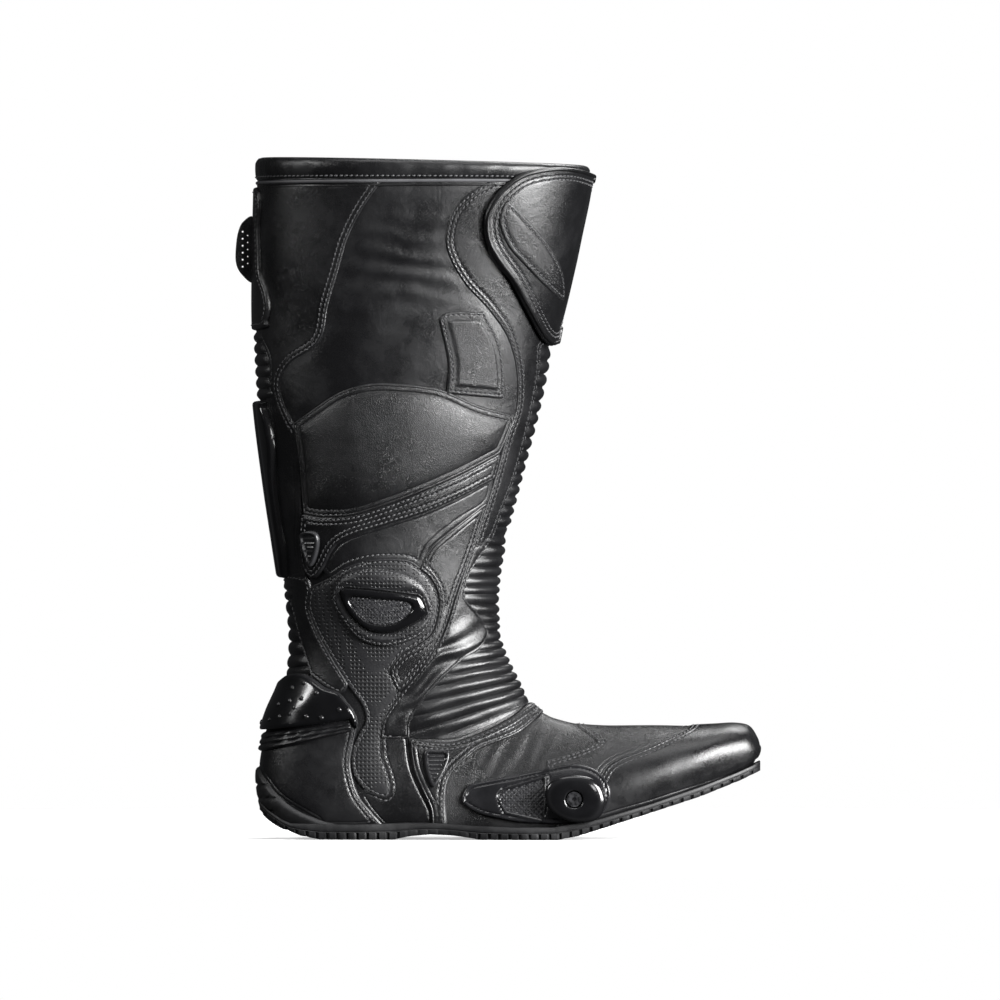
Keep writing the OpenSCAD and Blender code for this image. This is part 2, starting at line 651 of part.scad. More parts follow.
// Raised label patch, left blank
module side_badge() {
  color("#0e0e11") meshed() {
    intersection() {
      skin(1, 4, [layers(2, 2)[0], layers(2, 2)[1] + 0.4]);
      cut([[-37, 319], [-30, 323], [-9, 323], [0, 305], [3, 288], [3, 272], [-32, 280], [-31, 292]], 1, 2);
    }
    intersection() {
      skin(1, 4, [layers(2, 2)[0], layers(2, 2)[1] + 1.6]);
      cut([[-24, 312], [-9, 318], [-3, 303], [0, 288], [0, 273], [-23, 276]], 1, 1);
    }
  }
}

module ankle_ring() {
  color("#1d1d20") meshed() intersection() {
    skin(4, 9, [layers(2, 2)[0], base + 3.9]);
    difference() {
      cut([[-102, 148], [-96, 161], [-80, 166], [-60, 164], [-48, 158], [-42, 148], [-40.5, 138],
        [-46, 127], [-57, 121], [-72, 118.5], [-86, 123], [-96, 135]], 0, 1);
      cut(CUP, 0, 1, 0.8);
    }
  }
}

// Hard plastic ankle cup with a window
module ankle_cup() {
  color("#0b0b0d") meshed() intersection() {
    skin(4, 9, [layers(2, 2)[0], base + 7.2]);
    difference() {
      cut(CUP, 0, 2);
      cut(CUP_WINDOW, 0, 2);
    }
  }
}

module ankle_mesh() {
  color("#3a3a3e") meshed() intersection() {
    skin(4, 9, [layers(2, 2)[0], base + 4.6]);
    cut(CUP_WINDOW, 0, 2, -0.3);
  }
}

module rear_bellows() {
  color("#161619") meshed() intersection() {
    beaded_skin(2, 3, 7, [base + 0.5, base + 1.8], 1.4);
    cut([[-170, 311.5], [-153, 311.5], [-148, 302], [-144, 291], [-144, 281], [-145, 270], [-170, 270]],
      0, 1);
  }
}

module spine_guard() {
  color("#0c0c0e") meshed() intersection() {
    skin(2, 6, [layers(2, 2)[0] + 1.8, base + 7]);
    cut([[-170, 269], [-146, 269], [-143, 265], [-140, 255], [-137.5, 240], [-137, 220], [-134, 195],
      [-131, 176], [-130, 160], [-170, 160]], 0, 1);
  }
}

module rear_flap() {
  color("#101013") meshed() intersection() {
    skin(0, 3, [layers(2, 2)[0], base + 4.4]);
    cut([[-170, 399], [-149, 399], [-147, 370], [-146, 348], [-142, 336], [-140.5, 326], [-142, 318],
      [-145, 313.5], [-170, 313.5]], 0, 1);
  }
}

// Pull tab: a doubled leather tongue with rows of holes
module pull_tab() {
  tab_t = 3.2;
  color("#0d0d0f") translate([0, tab_t / 2, 0])
    rotate([90, 0, 0])
      linear_extrude(tab_t)
        difference() {
          polygon([for (q = outline([[-153, 380], [-157, 378], [-160, 372], [-161, 364], [-161, 354],
            [-158, 348], [-153, 343], [-152.3, 360]], 3)) [size_x(q.x), size_z(q.y)]]);
          for (i = [0:5])
            translate([size_x(-157.6), size_z(352) + 4.2 * i]) circle(r = 0.9, $fn = 12);
          for (i = [0:3])
            translate([size_x(-154.8), size_z(354) + 4.2 * i]) circle(r = 0.7, $fn = 12);
        }
}

// Inner side of the shaft, slotted for the zip
module inner_panel() {
  color("#141417") meshed() intersection() {
    difference() {
      skin(0, 7, layers(1, 1));
      zip_place() translate([-tape_half - 1, -10, 4]) cube([2 * tape_half + 2, 30, zip_len + 3]);
    }
    cut(concat(REAR_SEAM, [[-121.5, 246], [-121, 185], [-119, 168], [-117.5, 160]],
      [[-104, 160]], moved(RING_TOP, [0, 1]), [[-42, 181], [-24, 196], [-7, 207.5]],
      reversed(moved(upto(FRONT_SEAM, 0, 12), [-1, -0.5]))), -1, 1);
  }
}

// ---- zip: straight, on the inner side, closed at the top ----
zip_x = -52;
zip_low = 178;    // height of its lower end
zip_len = 215;
zip_lean = 4.42;  // outward lean of the shaft's side, in degrees
zip_y = 45.6;     // face of the shell at the lower end
// Places a zip part: z runs up along the zip, y stands out from the shell
module zip_place() {
  translate([size_x(zip_x), zip_y * kw, size_z(zip_low)]) rotate([-zip_lean, 0, 0]) children();
}

module zip_tapes() {
  color("#26262a") zip_place() difference() {
    translate([-tape_half, 0, 5]) cube([2 * tape_half, 0.8, zip_len]);
    translate([-0.6, -1, 9]) cube([1.2, 3, zip_len]);
  }
}

module zip_teeth() {
  color("#6f7275") zip_place() {
    for (side = [-1, 1]) {
      translate([side * 1.6 - 0.4, 0.85, 10]) cube([0.8, 0.8, zip_len - 8]);
      for (i = [0:floor((zip_len - 12) / tooth_pitch)])
        translate([side * 1.6 - 1, 0.85, 11 + i * tooth_pitch + (side + 1) * tooth_pitch / 4])
          cube([2, 1.6, tooth_pitch / 2]);
    }
    for (z = [6, zip_len + 2.6])
      translate([-3.4, 0.85, z]) cube([6.8, 1.8, 2]);
  }
}

slider_up = zip_len - 14; // where the slider rests, closed
// Slider: a plate over the teeth with two cheeks and a bridge for the pull
module zip_slider() {
  color("#5d6063") zip_place() translate([0, 0, slider_up]) {
    for (side = [-1, 1])
      translate([side * 4 - 0.6, 1.2, 0]) cube([1.2, 2.1, 11]);
    translate([-4.6, 2.9, 0]) cube([9.2, 1.2, 11]);
    for (z = [2, 8])
      translate([-1, 4, z]) cube([2, 2.6, 1.5]);
    translate([-1, 6.4, 2]) cube([2, 1, 7.5]);
  }
}

// Pull: a ring through the bridge and a long tongue hanging down
module zip_pull() {
  color("#5d6063") zip_place() translate([0, 5.25, slider_up + 5.75])
    rotate([zip_lean, 0, 0]) {
      rotate([0, 90, 0]) cylinder(h = 5, r = 0.8, center = true);
      for (side = [-1, 1])
        translate([side * 2.5 - 0.6, -0.8, -9]) cube([1.2, 1.6, 9.8]);
      translate([-3.1, -0.8, -34]) cube([6.2, 1.6, 25.2]);
    }
}

// ---- shin flap: hinged on the inner side, closed by hook-and-loop over the zip's top ----
FLAP = [[80, 401], [60, 407], [45, 411], [30, 411.5], [14, 408], [3, 401], [-5, 392], [-10, 380],
  [-9, 366], [-3, 354], [6, 341], [15, 324], [23, 309], [29, 303], [33, 304], [60, 312], [80, 312]];
FLAP_BACK = [[80, 401], [60, 405], [23, 405], [12, 355], [2, 313], [60, 312], [80, 312]];
module flap_cut(grow = 0) {
  cut(FLAP, 1, 1, grow);
  cut(FLAP_BACK, -1, 1, grow);
}

module flap_layer(low, high, grow = 0) {
  intersection() {
    skin(0, 3, [base + low, base + high]);
    flap_cut(grow);
  }
}

module shin_flap() {
  color("#0f0f12") meshed() flap_layer(4.6, 6.8);
}

module flap_piping() {
  color("#1d1d20") meshed() difference() {
    flap_layer(6.95, 8.2, -1);
    flap_cut(-4);
  }
}

module flap_badge() {
  color("#0d0d10") meshed() intersection() {
    skin(0, 3, [base + 6.95, base + 8.8]);
    cut([[2, 391], [-1, 384], [-2, 376], [3, 363], [12, 352], [22, 341], [32, 331], [35, 331],
      [35, 345], [31, 356], [25, 366], [16, 377], [8, 386]], 1, 2);
  }
}

module hook_patch() {
  color("#303035") meshed() intersection() {
    skin(0, 3, [base + 3.4, base + 4.45]);
    cut([[-2, 388], [8, 396], [28, 396], [30, 360], [22, 325], [10, 341], [-1, 362]], 1, 1);
  }
}

module loop_patch() {
  color("#303035") meshed() intersection() {
    skin(0, 3, [layers(2, 2)[0], base + 2.8]);
    cut([[-8, 390], [2, 396], [30, 396], [32, 360], [24, 318], [8, 341], [-6, 360]], 1, 1);
  }
}

// The strip that sews the flap's hinge to the shaft
module flap_root() {
  color("#101013") meshed() intersection() {
    skin(0, 3, [layers(2, 2)[0], base + 6.2]);
    cut([[20.5, 398], [14, 369], [9.5, 355], [-0.5, 313], [-9, 313], [0, 355], [11, 398]], -1, 1);
  }
}

outsole();
heel_tread();
forefoot_tread();
heel_wrap();
insole_board();
steel_shank();
footbed();
toe_puff();
heel_stiffener();
foot_upper();
toe_cap();
vamp_overlay();
vamp_grain();
saddle_strap();
quarter_panel();
heel_cup();
heel_guard();
heel_band();
lower_vent();
slider_base();
slider_mesh();
toe_slider();
slider_screw();
slider_nut();
instep_bellows();
instep_fold();
achilles_bellows();
rear_strip();
ankle_gusset();
ankle_panel();
side_panel();
shaft_upper();
collar();
rear_quarter();
upper_calf();
calf_pad();
strap_band();
upper_vent();
wing_panel();
front_strip();
shin_bellows();
side_badge();
ankle_ring();
ankle_cup();
ankle_mesh();
rear_bellows();
spine_guard();
rear_flap();
pull_tab();
inner_panel();
zip_tapes();
zip_teeth();
loop_patch();
flap_root();
zip_slider();
zip_pull();
shin_flap();
flap_piping();
flap_badge();
hook_patch();
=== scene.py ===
import math

import bmesh
import bpy
import numpy as np
from mathutils import Matrix, Vector

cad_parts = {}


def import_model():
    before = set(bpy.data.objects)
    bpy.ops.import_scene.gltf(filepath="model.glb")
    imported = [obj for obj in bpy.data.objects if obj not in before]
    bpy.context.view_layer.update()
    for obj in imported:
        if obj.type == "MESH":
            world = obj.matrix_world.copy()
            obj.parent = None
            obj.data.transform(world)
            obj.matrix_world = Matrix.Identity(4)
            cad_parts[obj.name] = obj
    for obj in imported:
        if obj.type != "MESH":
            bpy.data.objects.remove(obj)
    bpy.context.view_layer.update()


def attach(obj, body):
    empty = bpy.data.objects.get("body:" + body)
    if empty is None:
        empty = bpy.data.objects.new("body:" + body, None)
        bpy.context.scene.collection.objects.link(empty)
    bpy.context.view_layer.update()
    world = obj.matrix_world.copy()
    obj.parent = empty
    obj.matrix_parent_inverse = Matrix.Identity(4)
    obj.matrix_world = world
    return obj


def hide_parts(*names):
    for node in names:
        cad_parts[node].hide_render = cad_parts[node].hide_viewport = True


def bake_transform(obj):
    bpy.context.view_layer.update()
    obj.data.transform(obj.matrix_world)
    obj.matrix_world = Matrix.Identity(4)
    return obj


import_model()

MM = 0.001

# ---------------------------------------------------------------- the boot's surface (mm)
# Sections from the rim, round the heel, to the toe: front x z, back x z, half-width, centre y,
# widest place, front and back roundness. They are part.scad's.
STATIONS = np.array([
    [55.5, 412, -149, 417, 65.6, 0, 0, 2.2, 2.3],
    [46.5, 371, -150, 371, 62.3, 0, 0, 2.2, 2.3],
    [35, 319, -150.5, 319, 58.5, 0, -0.04, 2.1, 2.3],
    [25.5, 269, -148, 269, 54.7, 0, -0.06, 2.0, 2.2],
    [13, 220, -142, 220, 51.1, 0, -0.08, 1.95, 2.1],
    [3, 180, -136, 180, 48, 0, -0.1, 1.9, 2.0],
    [-1, 148, -131, 146, 44.5, 0, -0.1, 1.9, 1.9],
    [0, 127, -129, 118, 41.5, 0, -0.1, 1.9, 1.9],
    [3.5, 115, -132, 97, 39.5, 0, -0.12, 1.9, 2.0],
    [8, 105, -139.5, 78, 38.2, 0, -0.15, 1.9, 2.2],
    [12, 96, -145.5, 58, 37, 0, -0.2, 1.9, 2.4],
    [16.5, 88.5, -148, 36, 36.5, 0, -0.25, 1.9, 2.6],
    [22, 82, -141, 12, 36.5, 0, -0.3, 1.9, 3.0],
    [29, 77, -116, 3, 37, -0.5, -0.35, 1.9, 3.8],
    [38, 73.5, -86, 1, 37, -1, -0.35, 1.9, 4.5],
    [50, 71, -56, 1.5, 37, -1.5, -0.35, 1.9, 5],
    [65, 70, -26, 1, 39.5, -2, -0.35, 1.95, 5],
    [82, 70, 3, 0, 43, -2.5, -0.35, 2.0, 5],
    [99, 70, 34, 0.5, 45.5, -2, -0.35, 2.05, 5],
    [116, 70, 64, 6, 45, -0.5, -0.35, 2.1, 5],
    [132, 70.5, 94, 15, 40.5, 1, -0.3, 2.2, 4.5],
    [145, 71, 122, 26, 34, 2.5, -0.25, 2.4, 4],
    [154, 69, 143, 36, 28.5, 3.5, -0.2, 2.5, 3.5],
    [159, 62, 154, 43, 23.5, 4, -0.1, 2.6, 3],
    [160.5, 57, 158, 49, 18.5, 4, 0, 2.6, 2.8]], float)
SOLE_TOP = np.array([[-160, 10], [-120, 9.2], [-89, 8.7], [-58, 9.7], [-40, 9.7], [-15, 8],
                     [10, 7], [33, 7.3], [62, 12.5], [93, 21.5], [124, 32], [145, 40],
                     [156, 44.8], [165, 49.5]], float)
SOLE_BOTTOM = np.array([[-154, 30], [-149, 20], [-142, 13], [-133, 7], [-122, 2.4], [-110, 0],
                        [-64, 0], [-54, 2], [-42, 3], [-28, 2.4], [-12, 0], [36, 0], [48, 2.2],
                        [62, 6.5], [87, 14.5], [124, 26.5], [148, 36], [165, 44]], float)
SOLE_PLAN = np.array([[-152, 0, 6], [-149, 0, 14], [-143, 0, 22], [-135, 0, 29], [-124, 0, 34],
                      [-108, 0, 37.5], [-86, -0.5, 39], [-60, -1.2, 38.5], [-35, -1.8, 39.5],
                      [-8, -2.3, 43], [20, -2.3, 47], [45, -1.2, 48], [70, 0, 47.5],
                      [95, 1.2, 43.5], [120, 2.3, 37.5], [140, 3.3, 31], [152, 3.9, 26.5],
                      [158, 4, 22], [160.5, 4, 16]], float)
LAST = len(STATIONS) - 1
BASE = -2.6          # outside of the lined shell, against the boot's outline
SHELL_T = 4.0        # its thickness
L1 = BASE + 0.15     # underside of the first layer of leather
L1_TOP = BASE + 1.75
L2_TOP = BASE + 3.5
NOSE_DEPTH = 1.5


def sole_top(x):
    return np.interp(x, SOLE_TOP[:, 0], SOLE_TOP[:, 1])


def sole_bottom(x):
    return np.interp(x, SOLE_BOTTOM[:, 0], SOLE_BOTTOM[:, 1])


def spline(a, b, c, d, f):
    """The point at share f from b to c on a smooth curve through a, b, c and d."""
    return 0.5 * (2 * b + (c - a) * f + (2 * a - 5 * b + 4 * c - d) * f ** 2
                  + (3 * b - a - 3 * c + d) * f ** 3)


def unit(v):
    return v / np.maximum(np.linalg.norm(v, axis=-1, keepdims=True), 1e-9)


def spline_rows(t):
    """The section values at places t, smooth between the rows."""
    t = np.clip(t, 0, LAST)
    i = np.minimum(np.floor(t).astype(int), LAST - 1)
    return spline(*(STATIONS[np.clip(i + k, 0, LAST)] for k in (-1, 0, 1, 2)), (t - i)[..., None])


def section_points(t, a, d):
    """Points at place t and angle a (0 front, 90 outside), moved out by d, before the sole."""
    s = spline_rows(t)
    past = np.clip(t - LAST, 0, 1)
    shrink = np.sqrt(np.maximum(0, 1 - past ** 2))
    half = np.hypot(s[..., 0] - s[..., 2], s[..., 1] - s[..., 3]) / 2
    dx = (s[..., 0] - s[..., 2]) / (2 * half)
    dz = (s[..., 1] - s[..., 3]) / (2 * half)
    mx = (s[..., 0] + s[..., 2]) / 2 + dz * past * (NOSE_DEPTH + d)
    mz = (s[..., 1] + s[..., 3]) / 2 - dx * past * (NOSE_DEPTH + d)
    ca, sa = np.cos(a), np.sin(a)
    n = np.where(ca >= 0, s[..., 7], s[..., 8])
    c = shrink * np.abs(ca) ** (2 / n)
    w = shrink * np.abs(sa) ** (2 / n)
    reach, wide = half + d, s[..., 6] * half
    u = np.where(ca >= 0, wide + c * (reach - wide), wide - c * (reach + wide))
    y = s[..., 5] - np.sign(sa) * w * (s[..., 4] + d)
    return np.stack([mx + dx * u, y, mz + dz * u], -1)


def on_sole(p, d):
    """Keeps points above the sole's top, as part.scad does."""
    p = p.copy()
    p[..., 2] = np.maximum(p[..., 2], sole_top(p[..., 0]) - 1.2 * (d - BASE))
    return p


# Table of the surface over place t and share of the way round b (0 front, 0.25 outside,
# 0.5 back, 0.75 inside), with equal steps of b along each section
T_ROWS = np.concatenate([np.linspace(0, LAST, 720, endpoint=False),
                         LAST + np.sin(np.radians(np.linspace(0, 90, 26)))])
B_COLS = 720
ANGLES = 2880        # angles tried round each section


def make_table():
    a = np.linspace(0, 2 * np.pi, ANGLES + 1)
    t = T_ROWS[:, None] + 0 * a
    p = on_sole(section_points(t, a + 0 * t, 0 * t), 0)
    step = np.linalg.norm(np.diff(p, axis=1), axis=2)
    run = np.concatenate([np.zeros((len(T_ROWS), 1)), np.cumsum(step, 1)], 1)
    angles = np.empty((len(T_ROWS), B_COLS + 1))
    side = ANGLES // 2
    for i in range(len(T_ROWS)):
        if run[i, -1] < 0.5:
            angles[i] = angles[i - 1]
            continue
        at = np.linspace(0, 1, B_COLS // 2 + 1) * run[i, side]
        half = np.interp(at, run[i, :side + 1], a[:side + 1])
        angles[i] = np.concatenate([half, (2 * np.pi - half[::-1])[1:]])
    t = T_ROWS[:, None] + 0 * angles
    p = section_points(t, angles, 0 * t)
    return p, section_points(t, angles, 0 * t + 1) - p


P0, PD = make_table()


def surface(t, b, d):
    """Points (mm) of the surface at (t, b), moved out by d."""
    t, b, d = np.broadcast_arrays(np.asarray(t, float), np.asarray(b, float), np.asarray(d, float))
    r = np.interp(t, T_ROWS, np.arange(len(T_ROWS)))
    i = np.minimum(r.astype(int), len(T_ROWS) - 2)
    f = (r - i)[..., None]
    c = (b % 1.0) * B_COLS
    j = np.minimum(c.astype(int), B_COLS - 1)
    g = (c - j)[..., None]
    def at(table):
        return ((table[i, j] * (1 - g) + table[i, j + 1] * g) * (1 - f)
                + (table[i + 1, j] * (1 - g) + table[i + 1, j + 1] * g) * f)
    return on_sole(at(P0) + at(PD) * d[..., None], d)


def normals(t, b):
    """Outward unit normals of the surface."""
    dt, db = 0.06, 0.004
    along = surface(np.minimum(t + dt, LAST + 1), b, 0) - surface(np.maximum(t - dt, 0), b, 0)
    across = surface(t, b + db, 0) - surface(t, b - db, 0)
    n = unit(np.cross(across, along))
    lift = surface(t, b, 1) - surface(t, b, 0)
    flip = np.sign(np.sum(n * lift, -1, keepdims=True))
    return n * np.where(flip == 0, 1, flip)


# ---------------------------------------------------------------- outlines in side view
def curve(points, k=6):
    """A smooth open curve through points."""
    p = np.asarray(points, float)
    if len(p) < 3:
        return p
    q = np.vstack([2 * p[0] - p[1], p, 2 * p[-1] - p[-2]])
    out = []
    for i in range(1, len(q) - 2):
        for f in np.arange(k) / k:
            out.append(spline(*q[i - 1:i + 3], f))
    return np.array(out + [p[-1]])


def outline(*parts):
    """A closed outline from smooth parts that meet at corners."""
    return np.vstack([curve(p) for p in parts])


def ring(points, k=6):
    """A closed outline, smooth all round."""
    p = np.asarray(points, float)
    c = curve(np.vstack([p[-2:], p, p[:3]]), k)
    return c[2 * k:-2 * k - 1]


def moved(points, dx, dz):
    return [(x + dx, z + dz) for x, z in points]


def inside(poly, x, z):
    """Which of the points are inside the outline."""
    found = np.zeros(x.shape, bool)
    q = np.roll(poly, -1, 0)
    for (x0, z0), (x1, z1) in zip(poly, q):
        if z0 == z1:
            continue
        hit = (z >= min(z0, z1)) & (z < max(z0, z1))
        found ^= hit & (x < x0 + (z - z0) * (x1 - x0) / (z1 - z0))
    return found


REAR_SEAM = [(-72, 403), (-84, 386), (-93, 368), (-99, 348), (-105, 328), (-108, 311),
             (-114, 302), (-128, 293), (-135, 281), (-133, 269), (-127, 256)]
FRONT_SEAM = [(-4, 403), (-18, 395), (-28, 384), (-32, 368), (-29, 355), (-20, 340), (-6, 325),
              (6, 308), (12, 287), (12, 264), (6, 247), (0, 225), (-6, 206), (-15, 180)]
FOLD_SEAM = [(-15, 180), (-24, 152), (-32, 128), (-41, 113), (-54, 97), (-66, 81), (-71, 72),
             (-72, 62)]
STRIP_EDGE = [(26, 301), (25, 286), (22, 269), (16.5, 245), (9.5, 220), (3, 202), (-3, 185)]
FOLD_EDGE = [(-3, 185), (-11, 173), (-18, 161), (-20, 148), (-12, 138), (-6, 128), (-10, 118),
             (-22, 110), (-36, 97), (-48, 83), (-54, 73), (-55, 62)]
CALF_TOP = [(-127, 255), (-114, 264), (-98, 274), (-80, 279), (-60, 279), (-36, 276), (-12, 266),
            (11, 260)]
CALF_BOTTOM = [(1, 236), (-24, 223), (-49, 212), (-73, 203), (-90, 198), (-108, 197), (-121, 199)]
STRAP_LOW = [(-3, 221), (-24, 210), (-45, 201), (-70, 193), (-92, 186), (-102, 179), (-109, 166),
             (-115, 160.5), (-120, 167), (-122, 180), (-121.5, 199)]
RING_TOP = [(-116, 154), (-103, 160), (-92, 167), (-75, 171), (-56, 170.5), (-48, 166)]
ANKLE_FRONT = [(-48, 166), (-42, 160), (-37, 151), (-36, 141), (-40, 128), (-50, 119.5),
               (-60, 113.5), (-67, 103)]
ANKLE_LOW = [(-67, 103), (-61, 91), (-66, 80), (-71.5, 66), (-71.5, 52), (-67, 39), (-66, 30),
             (-70, 26), (-80, 30), (-88, 40), (-89.5, 52), (-85, 64), (-80.5, 73), (-83, 83),
             (-92, 95), (-103, 112), (-112, 128), (-117, 142), (-116, 154)]
HEEL_EDGE = [(-87, 70), (-90, 57), (-91.5, 47), (-90, 37), (-86.5, 27), (-80, 18), (-72, 8)]
SADDLE_TOP = [(-55, 62), (-42, 59.5), (-27, 59.5), (-12, 64.5), (7, 73.5), (22, 84.5)]
SADDLE_LOW = [(26, 77), (13, 66.5), (1, 61), (-12, 56), (-21, 49), (-29, 41), (-33, 30), (-33, 6)]
TOE_SEAM = [(119, 72), (116, 68), (109, 64.5), (99, 60), (87, 55), (74, 50), (66, 44.5), (61, 35),
            (57, 22), (50, 5)]
WRAP_EDGE = [(-158, 55), (-151, 49.5), (-145, 38), (-134, 25), (-123, 17), (-109, 11.5), (-95, 6)]
CUP = [(-96, 153), (-85, 153.5), (-70, 152), (-55, 150), (-49, 148.5), (-45.5, 141), (-47, 136),
       (-61, 128), (-70, 126.5), (-79, 128), (-86, 133), (-93, 142)]
CUP_WINDOW = [(-90, 148), (-74, 147), (-57, 145.5), (-54, 141), (-61, 134), (-70, 131.5),
              (-79, 133), (-86, 139)]
RING_OUT = [(-102, 148), (-96, 161), (-80, 166), (-60, 164), (-48, 158), (-42, 148),
            (-40.5, 138), (-46, 127), (-57, 121), (-72, 118.5), (-86, 123), (-96, 135)]


# ---------------------------------------------------------------- panels
def edges(tri):
    return np.vstack([tri[:, [0, 1]], tri[:, [1, 2]], tri[:, [2, 0]]])


class Patch:
    """Triangles over (t, b) with values at each vertex."""

    def __init__(self, t, b, s, tri):
        self.t, self.b, self.s, self.tri = t, b, s, tri

    def split(self, level):
        """Cuts the triangles along the line where s is level."""
        s = self.s
        v = s[self.tri]
        cross = (v < level - 1e-7).any(1) & (v > level + 1e-7).any(1)
        if not cross.any():
            return
        made, pairs, out = {}, [], []
        base = len(s)

        def between(i, j):
            key = (i, j) if i < j else (j, i)
            if key not in made:
                made[key] = base + len(pairs)
                pairs.append(key)
            return made[key]

        for tri in self.tri[cross].tolist():
            low, high = [], []
            for k in range(3):
                i, j = tri[k], tri[(k + 1) % 3]
                a, c = s[i] - level, s[j] - level
                if a <= 1e-7:
                    low.append(i)
                if a >= -1e-7:
                    high.append(i)
                if (a < -1e-7 and c > 1e-7) or (a > 1e-7 and c < -1e-7):
                    m = between(i, j)
                    low.append(m)
                    high.append(m)
            for poly in (low, high):
                for k in range(1, len(poly) - 1):
                    out.append((poly[0], poly[k], poly[k + 1]))
        i, j = np.array(pairs).T
        f = (level - s[i]) / (s[j] - s[i])
        self.t = np.concatenate([self.t, self.t[i] + f * (self.t[j] - self.t[i])])
        self.b = np.concatenate([self.b, self.b[i] + f * (self.b[j] - self.b[i])])
        self.s = np.concatenate([s, np.full(len(i), float(level))])
        self.tri = np.vstack([self.tri[~cross], np.array(out, int)])

    def clip(self):
        """Keeps the triangles inside the outline."""
        self.tri = self.tri[(self.s[self.tri] >= -1e-7).all(1)]
        used = np.unique(self.tri)
        index = np.full(len(self.s), -1)
        index[used] = np.arange(len(used))
        self.t, self.b, self.s, self.tri = self.t[used], self.b[used], self.s[used], index[self.tri]

    def border(self):
        """The edges with a triangle on one side only."""
        e = edges(self.tri)
        _, first, count = np.unique(np.sort(e, 1), axis=0, return_index=True, return_counts=True)
        return e[first[count == 1]]

    def lines(self, level):
        """The chains of vertices along s == level."""
        e = edges(self.tri)
        on = np.abs(self.s - level) < 1e-6
        e = np.unique(np.sort(e[on[e].all(1)], 1), axis=0)
        near = {}
        for i, j in e.tolist():
            near.setdefault(i, []).append(j)
            near.setdefault(j, []).append(i)
        chains, seen = [], set()
        starts = [i for i in near if len(near[i]) == 1] + list(near)
        for start in starts:
            if start in seen:
                continue
            chain, at = [start], start
            seen.add(start)
            while True:
                step = [k for k in near[at] if k not in seen]
                if not step:
                    if len(chain) > 2 and start in near[at]:
                        chain.append(start)
                    break
                at = step[0]
                seen.add(at)
                chain.append(at)
            if len(chain) > 2:
                chains.append(chain)
        return chains


# Shares of the way round that each side of the boot takes up
WHERE = {"out": (0.0, 0.5), "in": (0.5, 1.0), "front": (-0.5, 0.5), "back": (0.0, 1.0)}
HALVINGS = 14        # steps to the point where an edge crosses an outline


def place_rows(t0, t1, step):
    """Places from t0 to t1 about step apart along the surface."""
    t = np.linspace(t0, t1, 400)
    p = surface(t[:, None], np.linspace(0, 1, 24, endpoint=False), 0)
    steps = np.percentile(np.linalg.norm(np.diff(p, axis=0), axis=2), 80, axis=1)
    run = np.concatenate([[0], np.cumsum(steps)])
    n = max(3, int(run[-1] / step) + 1)
    return np.interp(np.linspace(0, run[-1], n), run, t)


def grid_patch(t0, t1, b0, b1, step_t, step_b):
    """Triangles over the places t0 to t1 and the shares b0 to b1 of the way round."""
    ts = place_rows(t0, t1, step_t)
    middle = surface((t0 + t1) / 2, np.linspace(b0, b1, 200), 0)
    size = np.linalg.norm(np.diff(middle, axis=0), axis=1).sum()
    bs = np.linspace(b0, b1, max(4, int(size / step_b) + 1))
    t, b = np.meshgrid(ts, bs, indexing="ij")
    n, m = t.shape
    i = (np.arange(n - 1)[:, None] * m + np.arange(m - 1)[None]).ravel()
    tri = np.vstack([np.stack([i, i + m, i + m + 1], 1), np.stack([i, i + m + 1, i + 1], 1)])
    return t.ravel(), b.ravel(), tri


def distance_to(points, segs, chunk=4000):
    """Distance of each point to the nearest of the segments."""
    out = np.full(len(points), 1e9)
    p0, p1 = segs[:, 0], segs[:, 1]
    v = p1 - p0
    vv = np.maximum((v * v).sum(1), 1e-12)
    for k in range(0, len(points), chunk):
        q = points[k:k + chunk, None]
        f = np.clip(((q - p0) * v).sum(2) / vv, 0, 1)
        out[k:k + chunk] = np.linalg.norm(q - p0 - f[..., None] * v, axis=2).min(1)
    return out


def patch(poly, where, t0, t1, step=2.0, step_b=None, holes=()):
    """The part of the surface inside an outline in side view, with s the distance to its edge."""
    t, b, tri = grid_patch(t0, t1, *WHERE[where], step, step_b or step)
    p = surface(t, b, 0)

    def within(q):
        hit = poly(q) if callable(poly) else inside(poly, q[:, 0], q[:, 2])
        for h in holes:
            hit &= ~inside(h, q[:, 0], q[:, 2])
        return hit

    keep = within(p)
    e = np.unique(np.sort(edges(tri), 1), axis=0)
    i, j = e[keep[e[:, 0]] != keep[e[:, 1]]].T

    def on_edges(f):
        return surface(t[i] * (1 - f) + t[j] * f, b[i] * (1 - f) + b[j] * f, 0)

    low, high = np.zeros(len(i)), np.ones(len(i))
    for _ in range(HALVINGS):
        f = (low + high) / 2
        same = within(on_edges(f)) == keep[i]
        low, high = np.where(same, f, low), np.where(same, high, f)
    q = on_edges((low + high) / 2)
    at = {pair: n for n, pair in enumerate(zip(i.tolist(), j.tolist()))}
    segs = []
    mixed = tri[(keep[tri].any(1)) & (~keep[tri].all(1))]
    for a, c, d in mixed.tolist():
        hit = [at[k] for k in (tuple(sorted((a, c))), tuple(sorted((c, d))), tuple(sorted((d, a))))
               if k in at]
        if len(hit) == 2:
            segs.append((q[hit[0]], q[hit[1]]))
    s = distance_to(p, np.array(segs))
    s = np.where(keep, s, -s)
    near = np.unique(tri[(s[tri] > -3.5 * step).any(1)])
    index = np.full(len(s), -1)
    index[near] = np.arange(len(near))
    tri = tri[(index[tri] >= 0).all(1)]
    return Patch(t[near], b[near], s[near], index[tri])


def profile(thick, stitches=(), edge=1.3, start=0.35, channel=0.3):
    """Height across a leather edge: rounded, with a channel under each row of stitches."""
    at = [(0, start * thick), (edge * 0.2, 0.72 * thick), (edge * 0.55, 0.93 * thick), (edge, thick)]
    for r in stitches:
        at += [(r - 0.7, thick), (r, thick - channel), (r + 0.7, thick)]
    return sorted(at)


